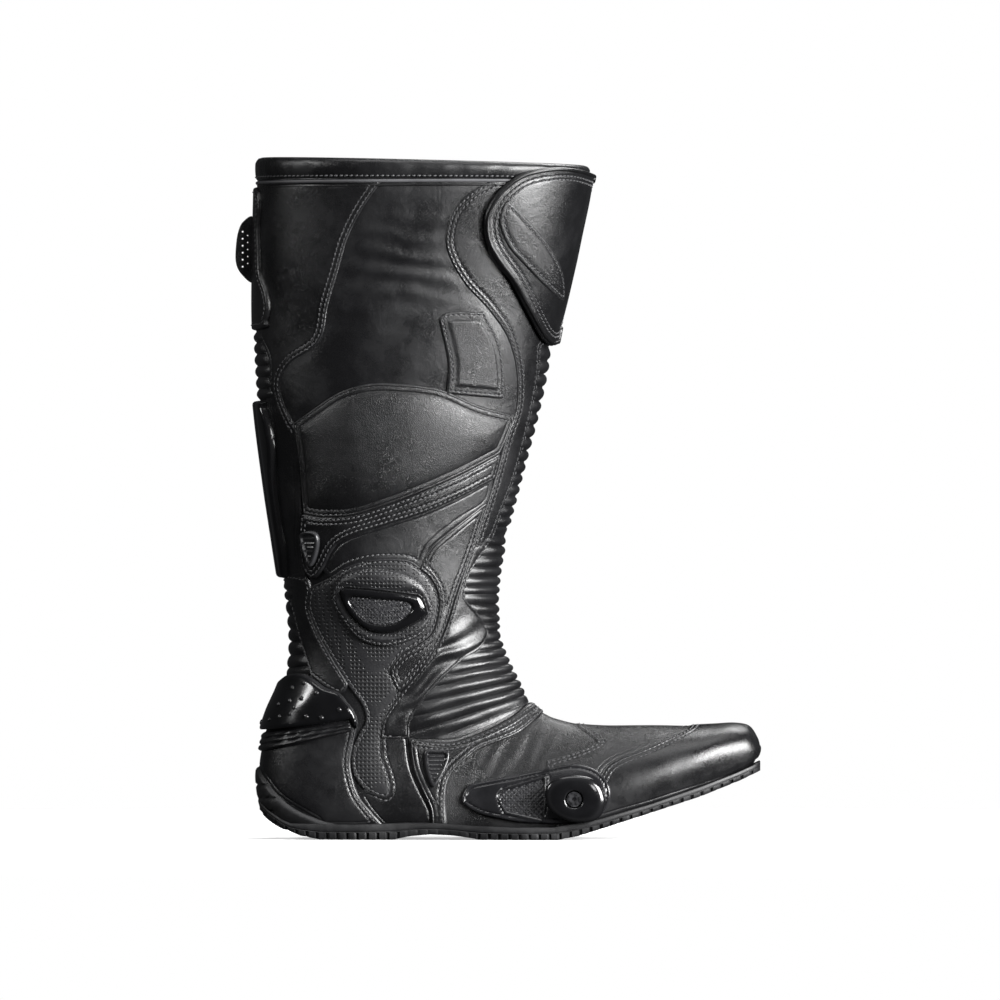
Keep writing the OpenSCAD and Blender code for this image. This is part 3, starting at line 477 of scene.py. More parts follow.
def strip(m, a, b):
    """Triangles between the ring of m points that starts at a and the one that starts at b."""
    j = np.arange(m)
    k = (j + 1) % m
    return np.vstack([np.stack([a + j, a + k, b + k], 1), np.stack([a + j, b + k, b + j], 1)])


def rings(n, m, closed=False):
    """Triangles between n rings of m points, and from the last to the first if closed."""
    return np.vstack([strip(m, i * m, (i + 1) % n * m) for i in range(n if closed else n - 1)])


def caps(n, m):
    """Triangles that close the first and the last of n rings of m points."""
    k = np.arange(1, m - 1)
    f = np.stack([0 * k, k, k + 1], 1)
    return np.vstack([f, f[:, ::-1] + (n - 1) * m])


def place(name, data):
    """An object in the scene."""
    o = bpy.data.objects.new(name, data)
    bpy.context.scene.collection.objects.link(o)
    return o


class Mesh:
    """Triangles and their material numbers, in mm, gathered before one object is made."""

    def __init__(self):
        self.v, self.f, self.m, self.uv, self.e, self.n = [], [], [], [], [], 0

    def add(self, v, f, mat=0, uv=None, edge=None):
        v = np.asarray(v, float)
        self.v.append(v)
        self.f.append(np.asarray(f, int) + self.n)
        self.m.append(np.broadcast_to(mat, len(f)))
        self.uv.append(np.zeros((len(v), 2)) if uv is None else np.asarray(uv, float))
        self.e.append(np.full(len(v), 9.0) if edge is None else np.asarray(edge, float))
        self.n += len(v)

    def build(self, name, materials, smooth=35):
        v, f = np.vstack(self.v), np.vstack(self.f)
        uv, e, m = np.vstack(self.uv), np.concatenate(self.e), np.concatenate(self.m)
        bad = (f[:, 0] == f[:, 1]) | (f[:, 1] == f[:, 2]) | (f[:, 2] == f[:, 0])
        f, m = f[~bad], m[~bad]
        me = bpy.data.meshes.new(name)
        me.vertices.add(len(v))
        me.vertices.foreach_set("co", (v * MM).ravel())
        me.loops.add(len(f) * 3)
        me.loops.foreach_set("vertex_index", f.ravel())
        me.polygons.add(len(f))
        me.polygons.foreach_set("loop_start", np.arange(len(f)) * 3)
        me.update(calc_edges=True)
        me.polygons.foreach_set("material_index", m)
        layer = me.uv_layers.new(name="UVMap")
        layer.data.foreach_set("uv", (uv[f.ravel()] * MM).ravel())
        # Distance to the piece's edge; the materials paint the colour lighter near it, partly as rubbed
        # wear and partly as a painted edge highlight.
        tag = me.attributes.new("edge", "FLOAT", "POINT")
        tag.data.foreach_set("value", e.astype(np.float32))
        me.validate()
        bm = bmesh.new()
        bm.from_mesh(me)
        bmesh.ops.recalc_face_normals(bm, faces=bm.faces)
        bm.to_mesh(me)
        bm.free()
        for mat in materials:
            me.materials.append(mat)
        me.polygons.foreach_set("use_smooth", np.ones(len(me.polygons), bool))
        me.set_sharp_from_angle(angle=math.radians(smooth))
        return place(name, me)


def uv_of(t, b):
    """Lengths (mm) down the boot and round it."""
    return np.stack([b * 420, np.interp(t, [0, 5, 12, 24], [0, 240, 380, 680])], 1)


def flat_sides(mesh, p, top, low):
    """Top, underside and walls of a patch."""
    n = len(top)
    i, j = p.border().T
    f = np.vstack([p.tri[:, ::-1], p.tri + n, np.stack([i, j, j + n], 1),
                   np.stack([i, j + n, i + n], 1)])
    uv = uv_of(p.t, p.b)
    mesh.add(np.vstack([top, low]), f, 0, np.vstack([uv, uv]), np.concatenate([p.s, p.s * 0 + 9]))


def resample(points, pitch):
    """Points about pitch apart along a line, and the line's direction at each."""
    run = np.concatenate([[0], np.cumsum(np.linalg.norm(np.diff(points, axis=0), axis=1))])
    n = int(run[-1] / pitch)
    at = (np.arange(n) + 0.5) * run[-1] / max(n, 1)

    def along(x):
        return np.stack([np.interp(x, run, column) for column in points.T], 1)

    return along(at), along(at + 0.5) - along(at - 0.5)


# A stitch: places along it, and its thread's radius and height there
STITCH_U = np.array([-1, -0.82, -0.35, 0.35, 0.82, 1]) / 2
STITCH_R = np.array([0.1, 0.3, 0.4, 0.4, 0.3, 0.1])
STITCH_H = np.array([-0.55, -0.1, 0.14, 0.14, -0.1, -0.55])


def add_stitches(mesh, pos, tangent, normal, length=2.5, scale=1.0):
    """A row of thread bumps, each turned a little out of the row."""
    tangent = unit(tangent)
    side = unit(np.cross(normal, tangent))
    tangent = tangent + 0.12 * side
    k = 6
    ang = np.arange(k) * 2 * np.pi / k
    u, r, h = (x[None, :, None, None] for x in (STITCH_U * length, STITCH_R * scale,
                                                STITCH_H * scale))
    pos, tangent, side, normal = (x[:, None, None] for x in (pos, tangent, side, normal))
    v = (pos + tangent * u + side * r * np.cos(ang)[:, None]
         + normal * (h + r * np.sin(ang)[:, None]))
    m = len(STITCH_U)
    one = np.vstack([rings(m, k), caps(m, k)])
    faces = one + (np.arange(len(v)) * m * k)[:, None, None]
    mesh.add(v.reshape(-1, 3), faces.reshape(-1, 3), 1)


def sew(mesh, p, level, height, pitch=3.2, length=2.5, limit=None):
    """Stitches along the line at distance level from the patch's edge."""
    for chain in p.lines(level):
        t, b = p.t[chain], p.b[chain]
        pos, tan = resample(np.hstack([surface(t, b, height), np.stack([t, b], 1)]), pitch)
        if limit is not None:
            ok = limit(pos[:, 0], pos[:, 2])
            pos, tan = pos[ok], tan[ok]
        if len(pos):
            add_stitches(mesh, pos[:, :3], tan[:, :3], normals(pos[:, 3], pos[:, 4]), length)


def tube(mesh, p, normal, radius, mat=0, sides=8, closed=False):
    """A round cord through points."""
    t = unit(np.roll(p, -1, 0) - np.roll(p, 1, 0) if closed else np.gradient(p, axis=0))
    side = unit(np.cross(normal, t))
    up = np.cross(t, side)
    ang = np.arange(sides)[:, None] * 2 * np.pi / sides
    v = p[:, None] + radius * (side[:, None] * np.cos(ang) + up[:, None] * np.sin(ang))
    f = rings(len(p), sides, closed)
    if not closed:
        f = np.vstack([f, caps(len(p), sides)])
    mesh.add(v.reshape(-1, 3), f, mat)


def soft_noise(x, z, size, seed):
    """Smooth value noise from -1 to 1."""
    g = np.random.default_rng(seed).uniform(-1, 1, (64, 64))
    u, v = (x / size) % 64, (z / size) % 64
    i, j = np.floor(u).astype(int) % 64, np.floor(v).astype(int) % 64
    f, h = u - np.floor(u), v - np.floor(v)
    f, h = f * f * (3 - 2 * f), h * h * (3 - 2 * h)
    i1, j1 = (i + 1) % 64, (j + 1) % 64
    return (g[i, j] * (1 - f) * (1 - h) + g[i1, j] * f * (1 - h)
            + g[i, j1] * (1 - f) * h + g[i1, j1] * f * h)


def leather_panel(mesh, poly, where, t0, t1, low, thick, step=2.0, stitches=(), edge=1.3,
                  relief=(), holes=(), step_b=None, limit=None, channel=0.3, start=0.35):
    """A leather panel with rounded edges and sewn rows, standing thick over depth low."""
    p = patch(poly, where, t0, t1, step, step_b, holes)
    steps = profile(thick, stitches, edge, start, channel)
    for level, _ in steps:
        p.split(level)
    p.clip()
    h = np.interp(p.s, *zip(*steps))
    q = surface(p.t, p.b, 0)
    for part in relief:
        h = h + part(q, p)
    flat_sides(mesh, p, surface(p.t, p.b, low + h), surface(p.t, p.b, low - 0.4))
    for row in stitches:
        sew(mesh, p, row, low + thick - channel + 0.25, limit=limit)


# ---------------------------------------------------------------- relief on a panel (mm)
def rumple(high, size, seed, soft):
    """Uneven leather, fading out at the edge over soft."""
    return lambda q, p: (high * soft_noise(q[:, 0], q[:, 2], size, seed)
                         * np.clip(p.s / soft, 0, 1))


def crown(high, soft, start=0):
    """A rise that rounds off over soft, from start inside the edge."""
    return lambda q, p: high * (1 - np.exp(-np.maximum(p.s - start, 0) / soft))


def rise(high, start, width):
    """A plain bevel up to high, from start inside the edge."""
    return lambda q, p: high * np.clip((p.s - start) / width, 0, 1)


def dome(high, centre, size):
    """A low dome about centre (x, z), falling to nothing at size."""
    return lambda q, p: high * np.maximum(0, 1 - ((q[..., 0] - centre[0]) / size[0]) ** 2
                                          - ((q[..., 2] - centre[1]) / size[1]) ** 2)


def bead(phase, sharp=0.6):
    return np.abs(np.sin(np.pi * phase)) ** sharp


def ribs(high, low, soft, places, counts):
    """Padded ribs, with the count of ribs down to each place on the boot."""
    return lambda q, p: ((high * np.clip(p.s / soft, 0, 1) + low)
                         * bead(np.interp(p.t, places, counts)) + 0.3)


def weave(high, pitch, start=-1):
    """Small tufts or mesh, pitch radians to the mm, from start inside the edge."""
    return lambda q, p: (high * np.sin(q[:, 0] * pitch) * np.sin(q[:, 2] * pitch)
                         * np.clip(p.s - start, 0, 1))


# ---------------------------------------------------------------- materials
def feed(nt, to, inputs):
    """Links or sets inputs of a node."""
    for key, value in inputs.items():
        if hasattr(value, "is_output"):
            nt.links.new(value, to.inputs[key])
        else:
            to.inputs[key].default_value = value


def node(nt, kind, inputs=None, **props):
    n = nt.nodes.new(kind)
    for key, value in props.items():
        setattr(n, key, value)
    feed(nt, n, inputs or {})
    return n


def new_material(name):
    """A material, its nodes, its shader and the place on the object."""
    mat = bpy.data.materials.new(name)
    mat.use_nodes = True
    nt = mat.node_tree
    nt.nodes.clear()
    bsdf = nt.nodes.new("ShaderNodeBsdfPrincipled")
    node(nt, "ShaderNodeOutputMaterial", {0: bsdf.outputs[0]})
    return mat, nt, bsdf, node(nt, "ShaderNodeTexCoord").outputs["Object"]


def noise(nt, pos, scale, detail, rough=0.5, distortion=0.0):
    return node(nt, "ShaderNodeTexNoise",
                {"Vector": pos, "Scale": scale, "Detail": detail, "Roughness": rough,
                 "Distortion": distortion}).outputs["Fac"]


def calc(nt, op, a, b, clamp=False):
    return node(nt, "ShaderNodeMath", {0: a, 1: b}, operation=op, use_clamp=clamp).outputs[0]


def span(nt, value, a, b, c, d):
    """Values from a to b turned smoothly into values from c to d."""
    return node(nt, "ShaderNodeMapRange", {"Value": value, "From Min": a, "From Max": b,
                                           "To Min": c, "To Max": d},
                interpolation_type="SMOOTHSTEP").outputs[0]


def scaled(colour, times, plus=0.0):
    return tuple(c * times + plus for c in colour)


def blend_colour(nt, fac, a, b):
    """A mix of two colours; either may be another node's output."""
    a, b = (c if hasattr(c, "is_output") else (*c, 1) for c in (a, b))
    return node(nt, "ShaderNodeMix", {"Factor": fac, 6: a, 7: b}, data_type="RGBA").outputs[2]


def edge_wear_and_highlight(nt, wide):
    """1 at a piece's edge, 0 from wide (mm) inside it; it paints edges lighter, partly as rubbed wear and
    partly as a painted edge highlight.
    """
    edge = node(nt, "ShaderNodeAttribute", attribute_name="edge").outputs["Fac"]
    return span(nt, edge, 0.0, wide, 1.0, 0.0)


def bumps(nt, layers, bsdf):
    """Bump nodes one after another: (height, metres high, strength)."""
    normal = None
    for height, distance, strength in layers:
        n = node(nt, "ShaderNodeBump", {"Height": height, "Distance": distance,
                                        "Strength": strength})
        if normal is not None:
            feed(nt, n, {"Normal": normal})
        normal = n.outputs[0]
    feed(nt, bsdf, {"Normal": normal})


def leather(name, colour, rough, grain, grain_high, wrinkle):
    """Leather: cells of grain (mm), fine pores, soft wrinkles, edges painted lighter, partly as rubbed wear
    and partly as a painted edge highlight.
    """
    mat, nt, bsdf, pos = new_material(name)
    cells = node(nt, "ShaderNodeTexVoronoi", {"Vector": pos, "Scale": 1000 / grain,
                                              "Randomness": 0.95}, feature="DISTANCE_TO_EDGE")
    pebble = span(nt, cells.outputs["Distance"], 0.0, 0.28, 0.0, 1.0)
    groove = calc(nt, "SUBTRACT", 1.0, pebble)
    pores = noise(nt, pos, 2600, 4, 0.6)
    folds = noise(nt, pos, 62, 4, 0.55, 0.8)
    dust = noise(nt, pos, 22, 5, 0.62)
    # Edges painted lighter: partly rubbed wear, partly a painted edge highlight.
    rub_and_highlight = calc(nt, "MULTIPLY", edge_wear_and_highlight(nt, 1.6),
               span(nt, noise(nt, pos, 160, 3), 0.35, 0.7, 0.15, 1.0))
    base = blend_colour(nt, span(nt, dust, 0.3, 0.72, 0, 1), scaled(colour, 0.55),
                        scaled(colour, 1.25))
    base = blend_colour(nt, calc(nt, "MULTIPLY", groove, 0.45), base, scaled(colour, 0.3))
    base = blend_colour(nt, calc(nt, "MULTIPLY", rub_and_highlight, 0.5), base, scaled(colour, 2.0, 0.01))
    gloss = span(nt, dust, 0.35, 0.68, rough - 0.07, rough + 0.13)
    gloss = calc(nt, "ADD", gloss, calc(nt, "MULTIPLY", groove, 0.12))
    gloss = calc(nt, "ADD", gloss, calc(nt, "MULTIPLY", pores, 0.06), clamp=True)
    feed(nt, bsdf, {"Base Color": base, "Roughness": gloss})
    bumps(nt, [(folds, 0.0016, wrinkle), (pebble, grain_high * MM, 0.9), (pores, 0.00008, 0.6)],
          bsdf)
    return mat


def plastic(name, colour, rough, grain=0.00006, scale=1800):
    """Moulded plastic: faint unevenness, fine texture, edges painted lighter, partly as rubbed wear and
    partly as a painted edge highlight.
    """
    mat, nt, bsdf, pos = new_material(name)
    broad = noise(nt, pos, 35, 5, 0.65)
    base = blend_colour(nt, span(nt, broad, 0.3, 0.7, 0, 1), scaled(colour, 0.8),
                        scaled(colour, 1.3))
    # Edges painted lighter: partly rubbed wear, partly a painted edge highlight.
    base = blend_colour(nt, calc(nt, "MULTIPLY", edge_wear_and_highlight(nt, 1.0), 0.35), base,
                        scaled(colour, 3, 0.02))
    gloss = span(nt, broad, 0.3, 0.75, max(0.05, rough - 0.07), rough + 0.09)
    feed(nt, bsdf, {"Base Color": base, "Roughness": gloss})
    bumps(nt, [(broad, 0.0006, 0.12), (noise(nt, pos, scale, 3), grain, 0.8)], bsdf)
    return mat


def rubber(name, colour, rough):
    """Rubber with a fine texture and a little dirt."""
    mat, nt, bsdf, pos = new_material(name)
    dirt = noise(nt, pos, 55, 6, 0.7)
    feed(nt, bsdf, {"Base Color": blend_colour(nt, span(nt, dirt, 0.35, 0.75, 0, 1), colour,
                                               scaled(colour, 1.9, 0.006)),
                    "Roughness": span(nt, dirt, 0.3, 0.8, rough - 0.08, rough + 0.12)})
    bumps(nt, [(dirt, 0.0005, 0.2), (noise(nt, pos, 1500, 5, 0.7), 0.00015, 0.8)], bsdf)
    return mat


def thread(name, colour, pale):
    """Twisted thread."""
    mat, nt, bsdf, pos = new_material(name)
    twist = node(nt, "ShaderNodeTexWave", {"Vector": pos, "Scale": 700, "Distortion": 2},
                 wave_type="BANDS", bands_direction="DIAGONAL")
    base = blend_colour(nt, span(nt, noise(nt, pos, 240, 2), 0.3, 0.7, 0, 1), colour, pale)
    feed(nt, bsdf, {"Base Color": base, "Roughness": 0.42, "Sheen Weight": 0.3})
    bumps(nt, [(twist.outputs["Fac"], 0.0001, 0.8)], bsdf)
    return mat


def fabric(name, colour, scale, rough=0.8, high=0.0003, dots=False, sheen=0.2):
    """Woven cloth, or with dots a surface of small round holes."""
    mat, nt, bsdf, pos = new_material(name)
    if dots:
        cells = node(nt, "ShaderNodeTexVoronoi", {"Vector": pos, "Scale": scale,
                                                  "Randomness": 0.0}, feature="F1")
        yarn = span(nt, cells.outputs["Distance"], 0.28, 0.42, 0.0, 1.0)
    else:
        warp, weft = (node(nt, "ShaderNodeTexWave",
                           {"Vector": pos, "Scale": scale, "Distortion": 0.6},
                           bands_direction=way).outputs["Fac"] for way in "XZ")
        yarn = calc(nt, "MAXIMUM", warp, weft)
    fuzz = noise(nt, pos, 900, 4)
    base = blend_colour(nt, yarn, scaled(colour, 0.25), colour)
    base = blend_colour(nt, calc(nt, "MULTIPLY", fuzz, 0.3), base, scaled(colour, 1.8))
    feed(nt, bsdf, {"Base Color": base, "Sheen Weight": sheen,
                    "Roughness": span(nt, fuzz, 0.2, 0.8, rough - 0.08, rough + 0.1)})
    bumps(nt, [(yarn, high, 0.9), (fuzz, 0.0002, 0.5)], bsdf)
    return mat


def metal(name, colour, rough):
    mat, nt, bsdf, pos = new_material(name)
    fine = noise(nt, pos, 400, 6)
    feed(nt, bsdf, {"Metallic": 1.0, "Base Color": blend_colour(nt, fine, scaled(colour, 0.8), colour),
                    "Roughness": span(nt, fine, 0.3, 0.7, rough - 0.08, rough + 0.1)})
    bumps(nt, [(fine, 0.00008, 0.5)], bsdf)
    return mat


SMOOTH = leather("leather_smooth", (0.0072, 0.0072, 0.0079), 0.19, 0.62, 0.03, 0.26)
SATIN = leather("leather_satin", (0.0068, 0.0068, 0.0076), 0.22, 0.55, 0.03, 0.3)
GRAIN = leather("leather_grain", (0.0065, 0.0065, 0.0072), 0.27, 0.95, 0.085, 0.14)
GRAIN_FINE = leather("leather_grain_fine", (0.009, 0.009, 0.0098), 0.24, 0.8, 0.09, 0.3)
CAP = leather("leather_cap", (0.0075, 0.0075, 0.0082), 0.17, 0.5, 0.02, 0.18)
RIB = leather("leather_rib", (0.008, 0.008, 0.0088), 0.21, 0.6, 0.03, 0.2)
TRIM = leather("leather_trim", (0.0065, 0.0065, 0.007), 0.2, 0.6, 0.03, 0.15)
SUEDE = fabric("suede_perforated", (0.0095, 0.0095, 0.0105), 400, 0.42, 0.0004, True, 0.02)
LINING = fabric("lining_cloth", (0.020, 0.020, 0.022), 900, 0.88)
MESH_CLOTH = fabric("mesh_cloth", (0.016, 0.016, 0.018), 560, 0.4, 0.0006, True, 0.02)
TAPE = fabric("zip_tape", (0.014, 0.014, 0.016), 1300, 0.85)
HOOK = fabric("hook_cloth", (0.012, 0.012, 0.013), 1000, 0.9, 0.0008, dots=True)
BOARD = fabric("board_fibre", (0.30, 0.21, 0.12), 1500, 0.8)
THREAD = thread("thread_grey", (0.013, 0.013, 0.0145), (0.036, 0.036, 0.039))
THREAD_DARK = thread("thread_black", (0.011, 0.011, 0.0125), (0.028, 0.028, 0.031))
PIPING = leather("leather_piping", (0.085, 0.085, 0.09), 0.4, 0.5, 0.02, 0.1)
GLOSS = plastic("plastic_gloss", (0.004, 0.004, 0.0045), 0.13, 0.00002, 1500)
MATT = plastic("plastic_matt", (0.0085, 0.0085, 0.0095), 0.24)
VENT = plastic("plastic_vent", (0.011, 0.011, 0.012), 0.26)
RUBBER = rubber("rubber_sole", (0.006, 0.006, 0.0066), 0.5)
STEEL = metal("steel_screw", (0.36, 0.36, 0.38), 0.32)
ZIP = metal("zip_black", (0.16, 0.16, 0.17), 0.3)

# CAD nodes that stay as they are, with their materials
KEPT = {"insole_board": BOARD, "steel_shank": STEEL, "footbed": LINING, "toe_puff": BOARD,
        "heel_stiffener": BOARD, "slider_screw": ZIP, "slider_nut": STEEL, "zip_teeth": ZIP,
        "zip_slider": ZIP, "zip_pull": ZIP}
for name, mat in KEPT.items():
    o = bpy.data.objects[name]
    for slot in o.material_slots:
        slot.material = mat
    if not o.material_slots:
        o.data.materials.append(mat)


def finish_piece(o, slot, body, *nodes):
    """Ties a piece to its body; a "bend" piece, between the foot and the shaft, is left untied with its
    place baked in.
    """
    if body == "bend":
        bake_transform(o)
    else:
        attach(o, body)
    if nodes:
        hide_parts(*nodes)
    return o


def near(*lines, r=6.5):
    """Keeps stitches close to the given seams."""
    curves = [curve(line) for line in lines]
    segs = np.vstack([np.stack([c[:-1], c[1:]], 1) for c in curves])
    return lambda x, z: distance_to(np.stack([x, z], 1), segs) < r


def grown(poly, d):
    """An outline moved outwards by d."""
    p = np.asarray(poly, float)
    t = unit(unit(p - np.roll(p, 1, 0)) + unit(np.roll(p, -1, 0) - p))
    n = np.stack([t[:, 1], -t[:, 0]], 1)
    area = (p[:, 0] * np.roll(p[:, 1], -1) - np.roll(p[:, 0], -1) * p[:, 1]).sum()
    return p + n * d * (1 if area > 0 else -1)


def sides(out, inner):
    """A test for an outline that differs on the two sides of the boot."""
    return lambda q: np.where(q[:, 1] < 0, inside(out, q[:, 0], q[:, 2]),
                              inside(inner, q[:, 0], q[:, 2]))


def piece(name, slot, body, node_name, materials, *parts):
    """One leather or plastic piece made of the given panels."""
    mesh = Mesh()
    for part in parts:
        part(mesh)
    return finish_piece(mesh.build(name, materials), slot, body, node_name)


def panel_of(*a, **k):
    return lambda mesh: leather_panel(mesh, *a, **k)


def both_of(poly, *a, **k):
    """The same panel on the outer and the inner side."""
    def make(mesh):
        for where in ("out", "in"):
            leather_panel(mesh, poly, where, *a, **k)
    return make


# ---------------------------------------------------------------- lined shell and collar
def lined_shell():
    """One shell over shaft, ankle and foot, quilted inside."""
    ts = np.concatenate([np.linspace(0, 5, 170, endpoint=False),
                         np.linspace(5, LAST, 180, endpoint=False),
                         LAST + np.sin(np.radians(np.linspace(0, 90, 8)))])
    t, b = np.meshgrid(ts, np.linspace(0, 1, 216, endpoint=False), indexing="ij")
    n, m = t.shape
    quilt = np.maximum(np.exp(-(((t * 1.6 + 0.5) % 1 - 0.5) / 0.045) ** 2),
                       np.exp(-(((b * 12 + 0.5) % 1 - 0.5) / 0.06) ** 2)) * (t < 6)
    outer = surface(t, b, BASE).reshape(-1, 3)
    inner = surface(t, b, BASE - SHELL_T - 0.6 + 1.3 * quilt * (t > 0.1)).reshape(-1, 3)
    walls = rings(n, m)
    uv = uv_of(t.ravel(), b.ravel())
    mesh = Mesh()
    mesh.add(np.vstack([outer, inner]), np.vstack([walls, strip(m, 0, n * m), walls + n * m]),
             np.repeat([0, 1], [len(walls) + 2 * m, len(walls)]), np.vstack([uv, uv]))
    return mesh.build("shell_lined", [SATIN, LINING])


finish_piece(lined_shell(), "lining", "bend", "shaft_upper", "ankle_gusset", "foot_upper")


def collar_seam(b):
    """Place of the collar's lower seam, about 401 mm up all round."""
    return 0.27 + 0.09 * (0.5 - 0.5 * np.cos(2 * np.pi * b))


def collar():
    """The padded rim: share of the way to the seam, depth and lift of each ring of points."""
    bs = np.linspace(0, 1, 320, endpoint=False)
    rows = [(1.02, 0.15, 0), (1.0, 1.5, 0), (0.93, 2.5, 0), (0.75, 3.1, 0), (0.5, 3.35, 0),
            (0.25, 3.3, 0), (0.06, 2.7, 0), (0, 1.5, 0.9), (0, -0.6, 1.5), (0, -2.8, 1.4),
            (0, -4.9, 0.5), (0.06, -6.0, 0), (0.4, -6.3, 0), (0.9, -6.1, 0), (1.6, -5.3, 0),
            (2.2, -4.4, 0), (2.25, -3.9, 0)]
    wave = 0.14 * np.sin(bs * 2 * np.pi * 23) + 0.1 * np.sin(bs * 2 * np.pi * 41 + 1)
    v = [surface(share * collar_seam(bs), bs, BASE + d + wave * (0.2 < share < 1.0) * (d > 0))
         + [0, 0, up] for share, d, up in rows]
    mesh = Mesh()
    # Small edge values paint the rim lighter: partly rubbed wear, partly a painted highlight.
    mesh.add(np.vstack(v), rings(len(rows), len(bs), closed=True), 0,
             edge=np.repeat([0.4, 0.5, 1.0, 3, 9, 9, 1.2, 0.3, 0.2, 0.3, 1, 3, 9, 9, 9, 2, 1], len(bs)))
    row = 0.86 * collar_seam(bs)
    pts = np.hstack([surface(row, bs, BASE + 3.0), np.stack([row, bs], 1)])
    pts = np.vstack([pts, pts[:1]])
    pts[-1, 4] = 1.0
    pos, tan = resample(pts, 3.2)
    add_stitches(mesh, pos[:, :3], tan[:, :3], normals(pos[:, 3], pos[:, 4]), 2.4)
    return mesh.build("collar_padded", [SMOOTH, THREAD_DARK])


finish_piece(collar(), "leather_smooth", "shaft", "collar")


def collar_piping():
    """A pale cord under the collar, and a thin black one below it."""
    bs = np.linspace(0, 1, 400, endpoint=False)
    mesh = Mesh()
    for mat, (down, high, radius) in enumerate([(0.028, 2.0, 1.05), (0.088, 1.75, 0.7)]):
        t = collar_seam(bs) + down
        tube(mesh, surface(t, bs, BASE + high), normals(t, bs), radius, mat, closed=True)
    return mesh.build("collar_piping", [PIPING, TRIM])


finish_piece(collar_piping(), "leather_smooth", "shaft")

# ---------------------------------------------------------------- shaft panels
def upper_calf_relief(q, p):
    x, z = q[:, 0], q[:, 2]
    soft = np.exp(-((x + 62) / 34) ** 2 - ((z - 349) / 24) ** 2)
    folds = np.sin((z + 0.16 * x + 3.2 * soft_noise(x, z, 26, 3)) / 6.4 * np.pi)
    broad = soft_noise(x, z, 34, 5)
    keep = np.clip(p.s / 7, 0, 1)
    return keep * (0.55 * soft * folds + 0.5 * broad + 0.5 * (1 - np.exp(-p.s / 9)))


UPPER_CALF = outline(REAR_SEAM, CALF_TOP, FRONT_SEAM[:10][::-1])
piece("leather_upper_calf", "leather_satin", "shaft", "upper_calf", [SATIN, THREAD],
      panel_of(grown(UPPER_CALF, 1.6), "out", 0, 4.2, L1, 1.15, step=2.0, edge=0.8,
               relief=[upper_calf_relief]))

INNER = outline(REAR_SEAM, [(-121.5, 246), (-121, 185), (-119, 168), (-117.5, 160)],
                [(-104, 161), (-92, 168), (-75, 172), (-56, 171), (-48, 167)],
                [(-42, 181), (-24, 196), (-7, 207.5)], FRONT_SEAM[:13][::-1])
ZIP_SLOT = np.array([(-64, 182), (-40, 182), (-40, 397), (-64, 397)], float)
piece("leather_inner_panel", "leather_satin", "shaft", "inner_panel", [SATIN, THREAD],
      panel_of(grown(INNER, 1.4), "in", 0, 7, L1, 1.35, step=2.2, edge=1.0, holes=[ZIP_SLOT],
               stitches=(2.2, 5.0), limit=near([(-64, 186), (-64, 394)], [(-40, 186), (-40, 394)], r=6),
               relief=[rumple(0.35, 30, 11, 8)]))


CALF = outline(CALF_TOP, [(11, 260), (6, 247), (1, 236)], CALF_BOTTOM, [(-121, 199), (-123, 230),
                                                                        (-127, 255)])
pad = piece("leather_calf_pad", "leather_grain", "shaft", "calf_pad", [GRAIN, THREAD],
            panel_of(CALF, "out", 2, 6, L1, 1.9, step=1.7, stitches=(1.9, 4.7), edge=1.4,
                     relief=[crown(2.6, 7, 5), dome(1.6, (-60, 236), (76, 56)), rumple(0.25, 26, 9, 10)],
                     limit=near(CALF_TOP, CALF_BOTTOM)))

BAND = outline(CALF_BOTTOM, [(-121, 199), (-121.7, 190), (-122, 180)], STRAP_LOW[:10][::-1],
               [(-3, 221), (-1, 228), (1, 236)])
piece("leather_strap_band", "leather_smooth", "shaft", "strap_band", [SMOOTH, THREAD],
      panel_of(grown(BAND, 0.8), "out", 3, 7, L1, 2.7, step=1.5, stitches=(2.0, 4.6), edge=1.6,
               limit=near(CALF_BOTTOM, STRAP_LOW, r=7)))

WING = outline(STRAP_LOW[:7], [(-109, 166), (-104, 161)],
               [(-104, 161), (-92, 168), (-75, 172), (-56, 171.5), (-48, 167)],
               [(-48, 167), (-42, 180), (-24, 194.5), (-7, 206), (-3, 221)])
piece("leather_wing", "leather_smooth", "bend", "wing_panel", [SATIN, THREAD],
      panel_of(grown(WING, 1.0), "out", 3, 7.5, L1, 1.2, step=1.6, edge=0.9, stitches=(3.4,),
               limit=near([(-92, 168), (-75, 172), (-56, 171.5)], r=5)))

REAR_Q = outline(moved(REAR_SEAM, -0.5, -0.5), [(-127, 256), (-124, 246), (-122.5, 200),
                                                (-123.5, 185), (-121.5, 168), (-119, 160)],
                 [(-119, 160), (-131, 160), (-135, 180), (-138, 220), (-140, 250), (-143, 267),
                  (-142, 291), (-146, 303), (-152, 313), (-175, 313)],
                 [(-175, 313), (-175, 404), (-148, 404), (-122, 405), (-72, 404)])
piece("leather_rear_quarter", "leather_smooth", "shaft", "rear_quarter", [SMOOTH, THREAD],
      panel_of(grown(REAR_Q, 0.6), "back", 0, 6.2, L1, 1.9, step=2.0, edge=1.3,
               stitches=(1.9, 4.6), limit=near(REAR_SEAM),
               relief=[rumple(0.3, 30, 21, 8)]))

STRIP = outline(FRONT_SEAM, [(-15, 180), (-9, 176)], STRIP_EDGE[::-1], [(26, 301), (29, 303), (90, 303)],
                [(90, 303), (90, 404), (20, 404), (-4, 404)])
piece("leather_front_strip", "leather_smooth", "shaft", "front_strip", [SMOOTH, THREAD],
      panel_of(grown(STRIP, 0.6), "front", 0, 5.6, L1, 1.9, step=2.0, edge=1.3,
               stitches=(1.9, 4.6), limit=near(FRONT_SEAM, STRIP_EDGE)))

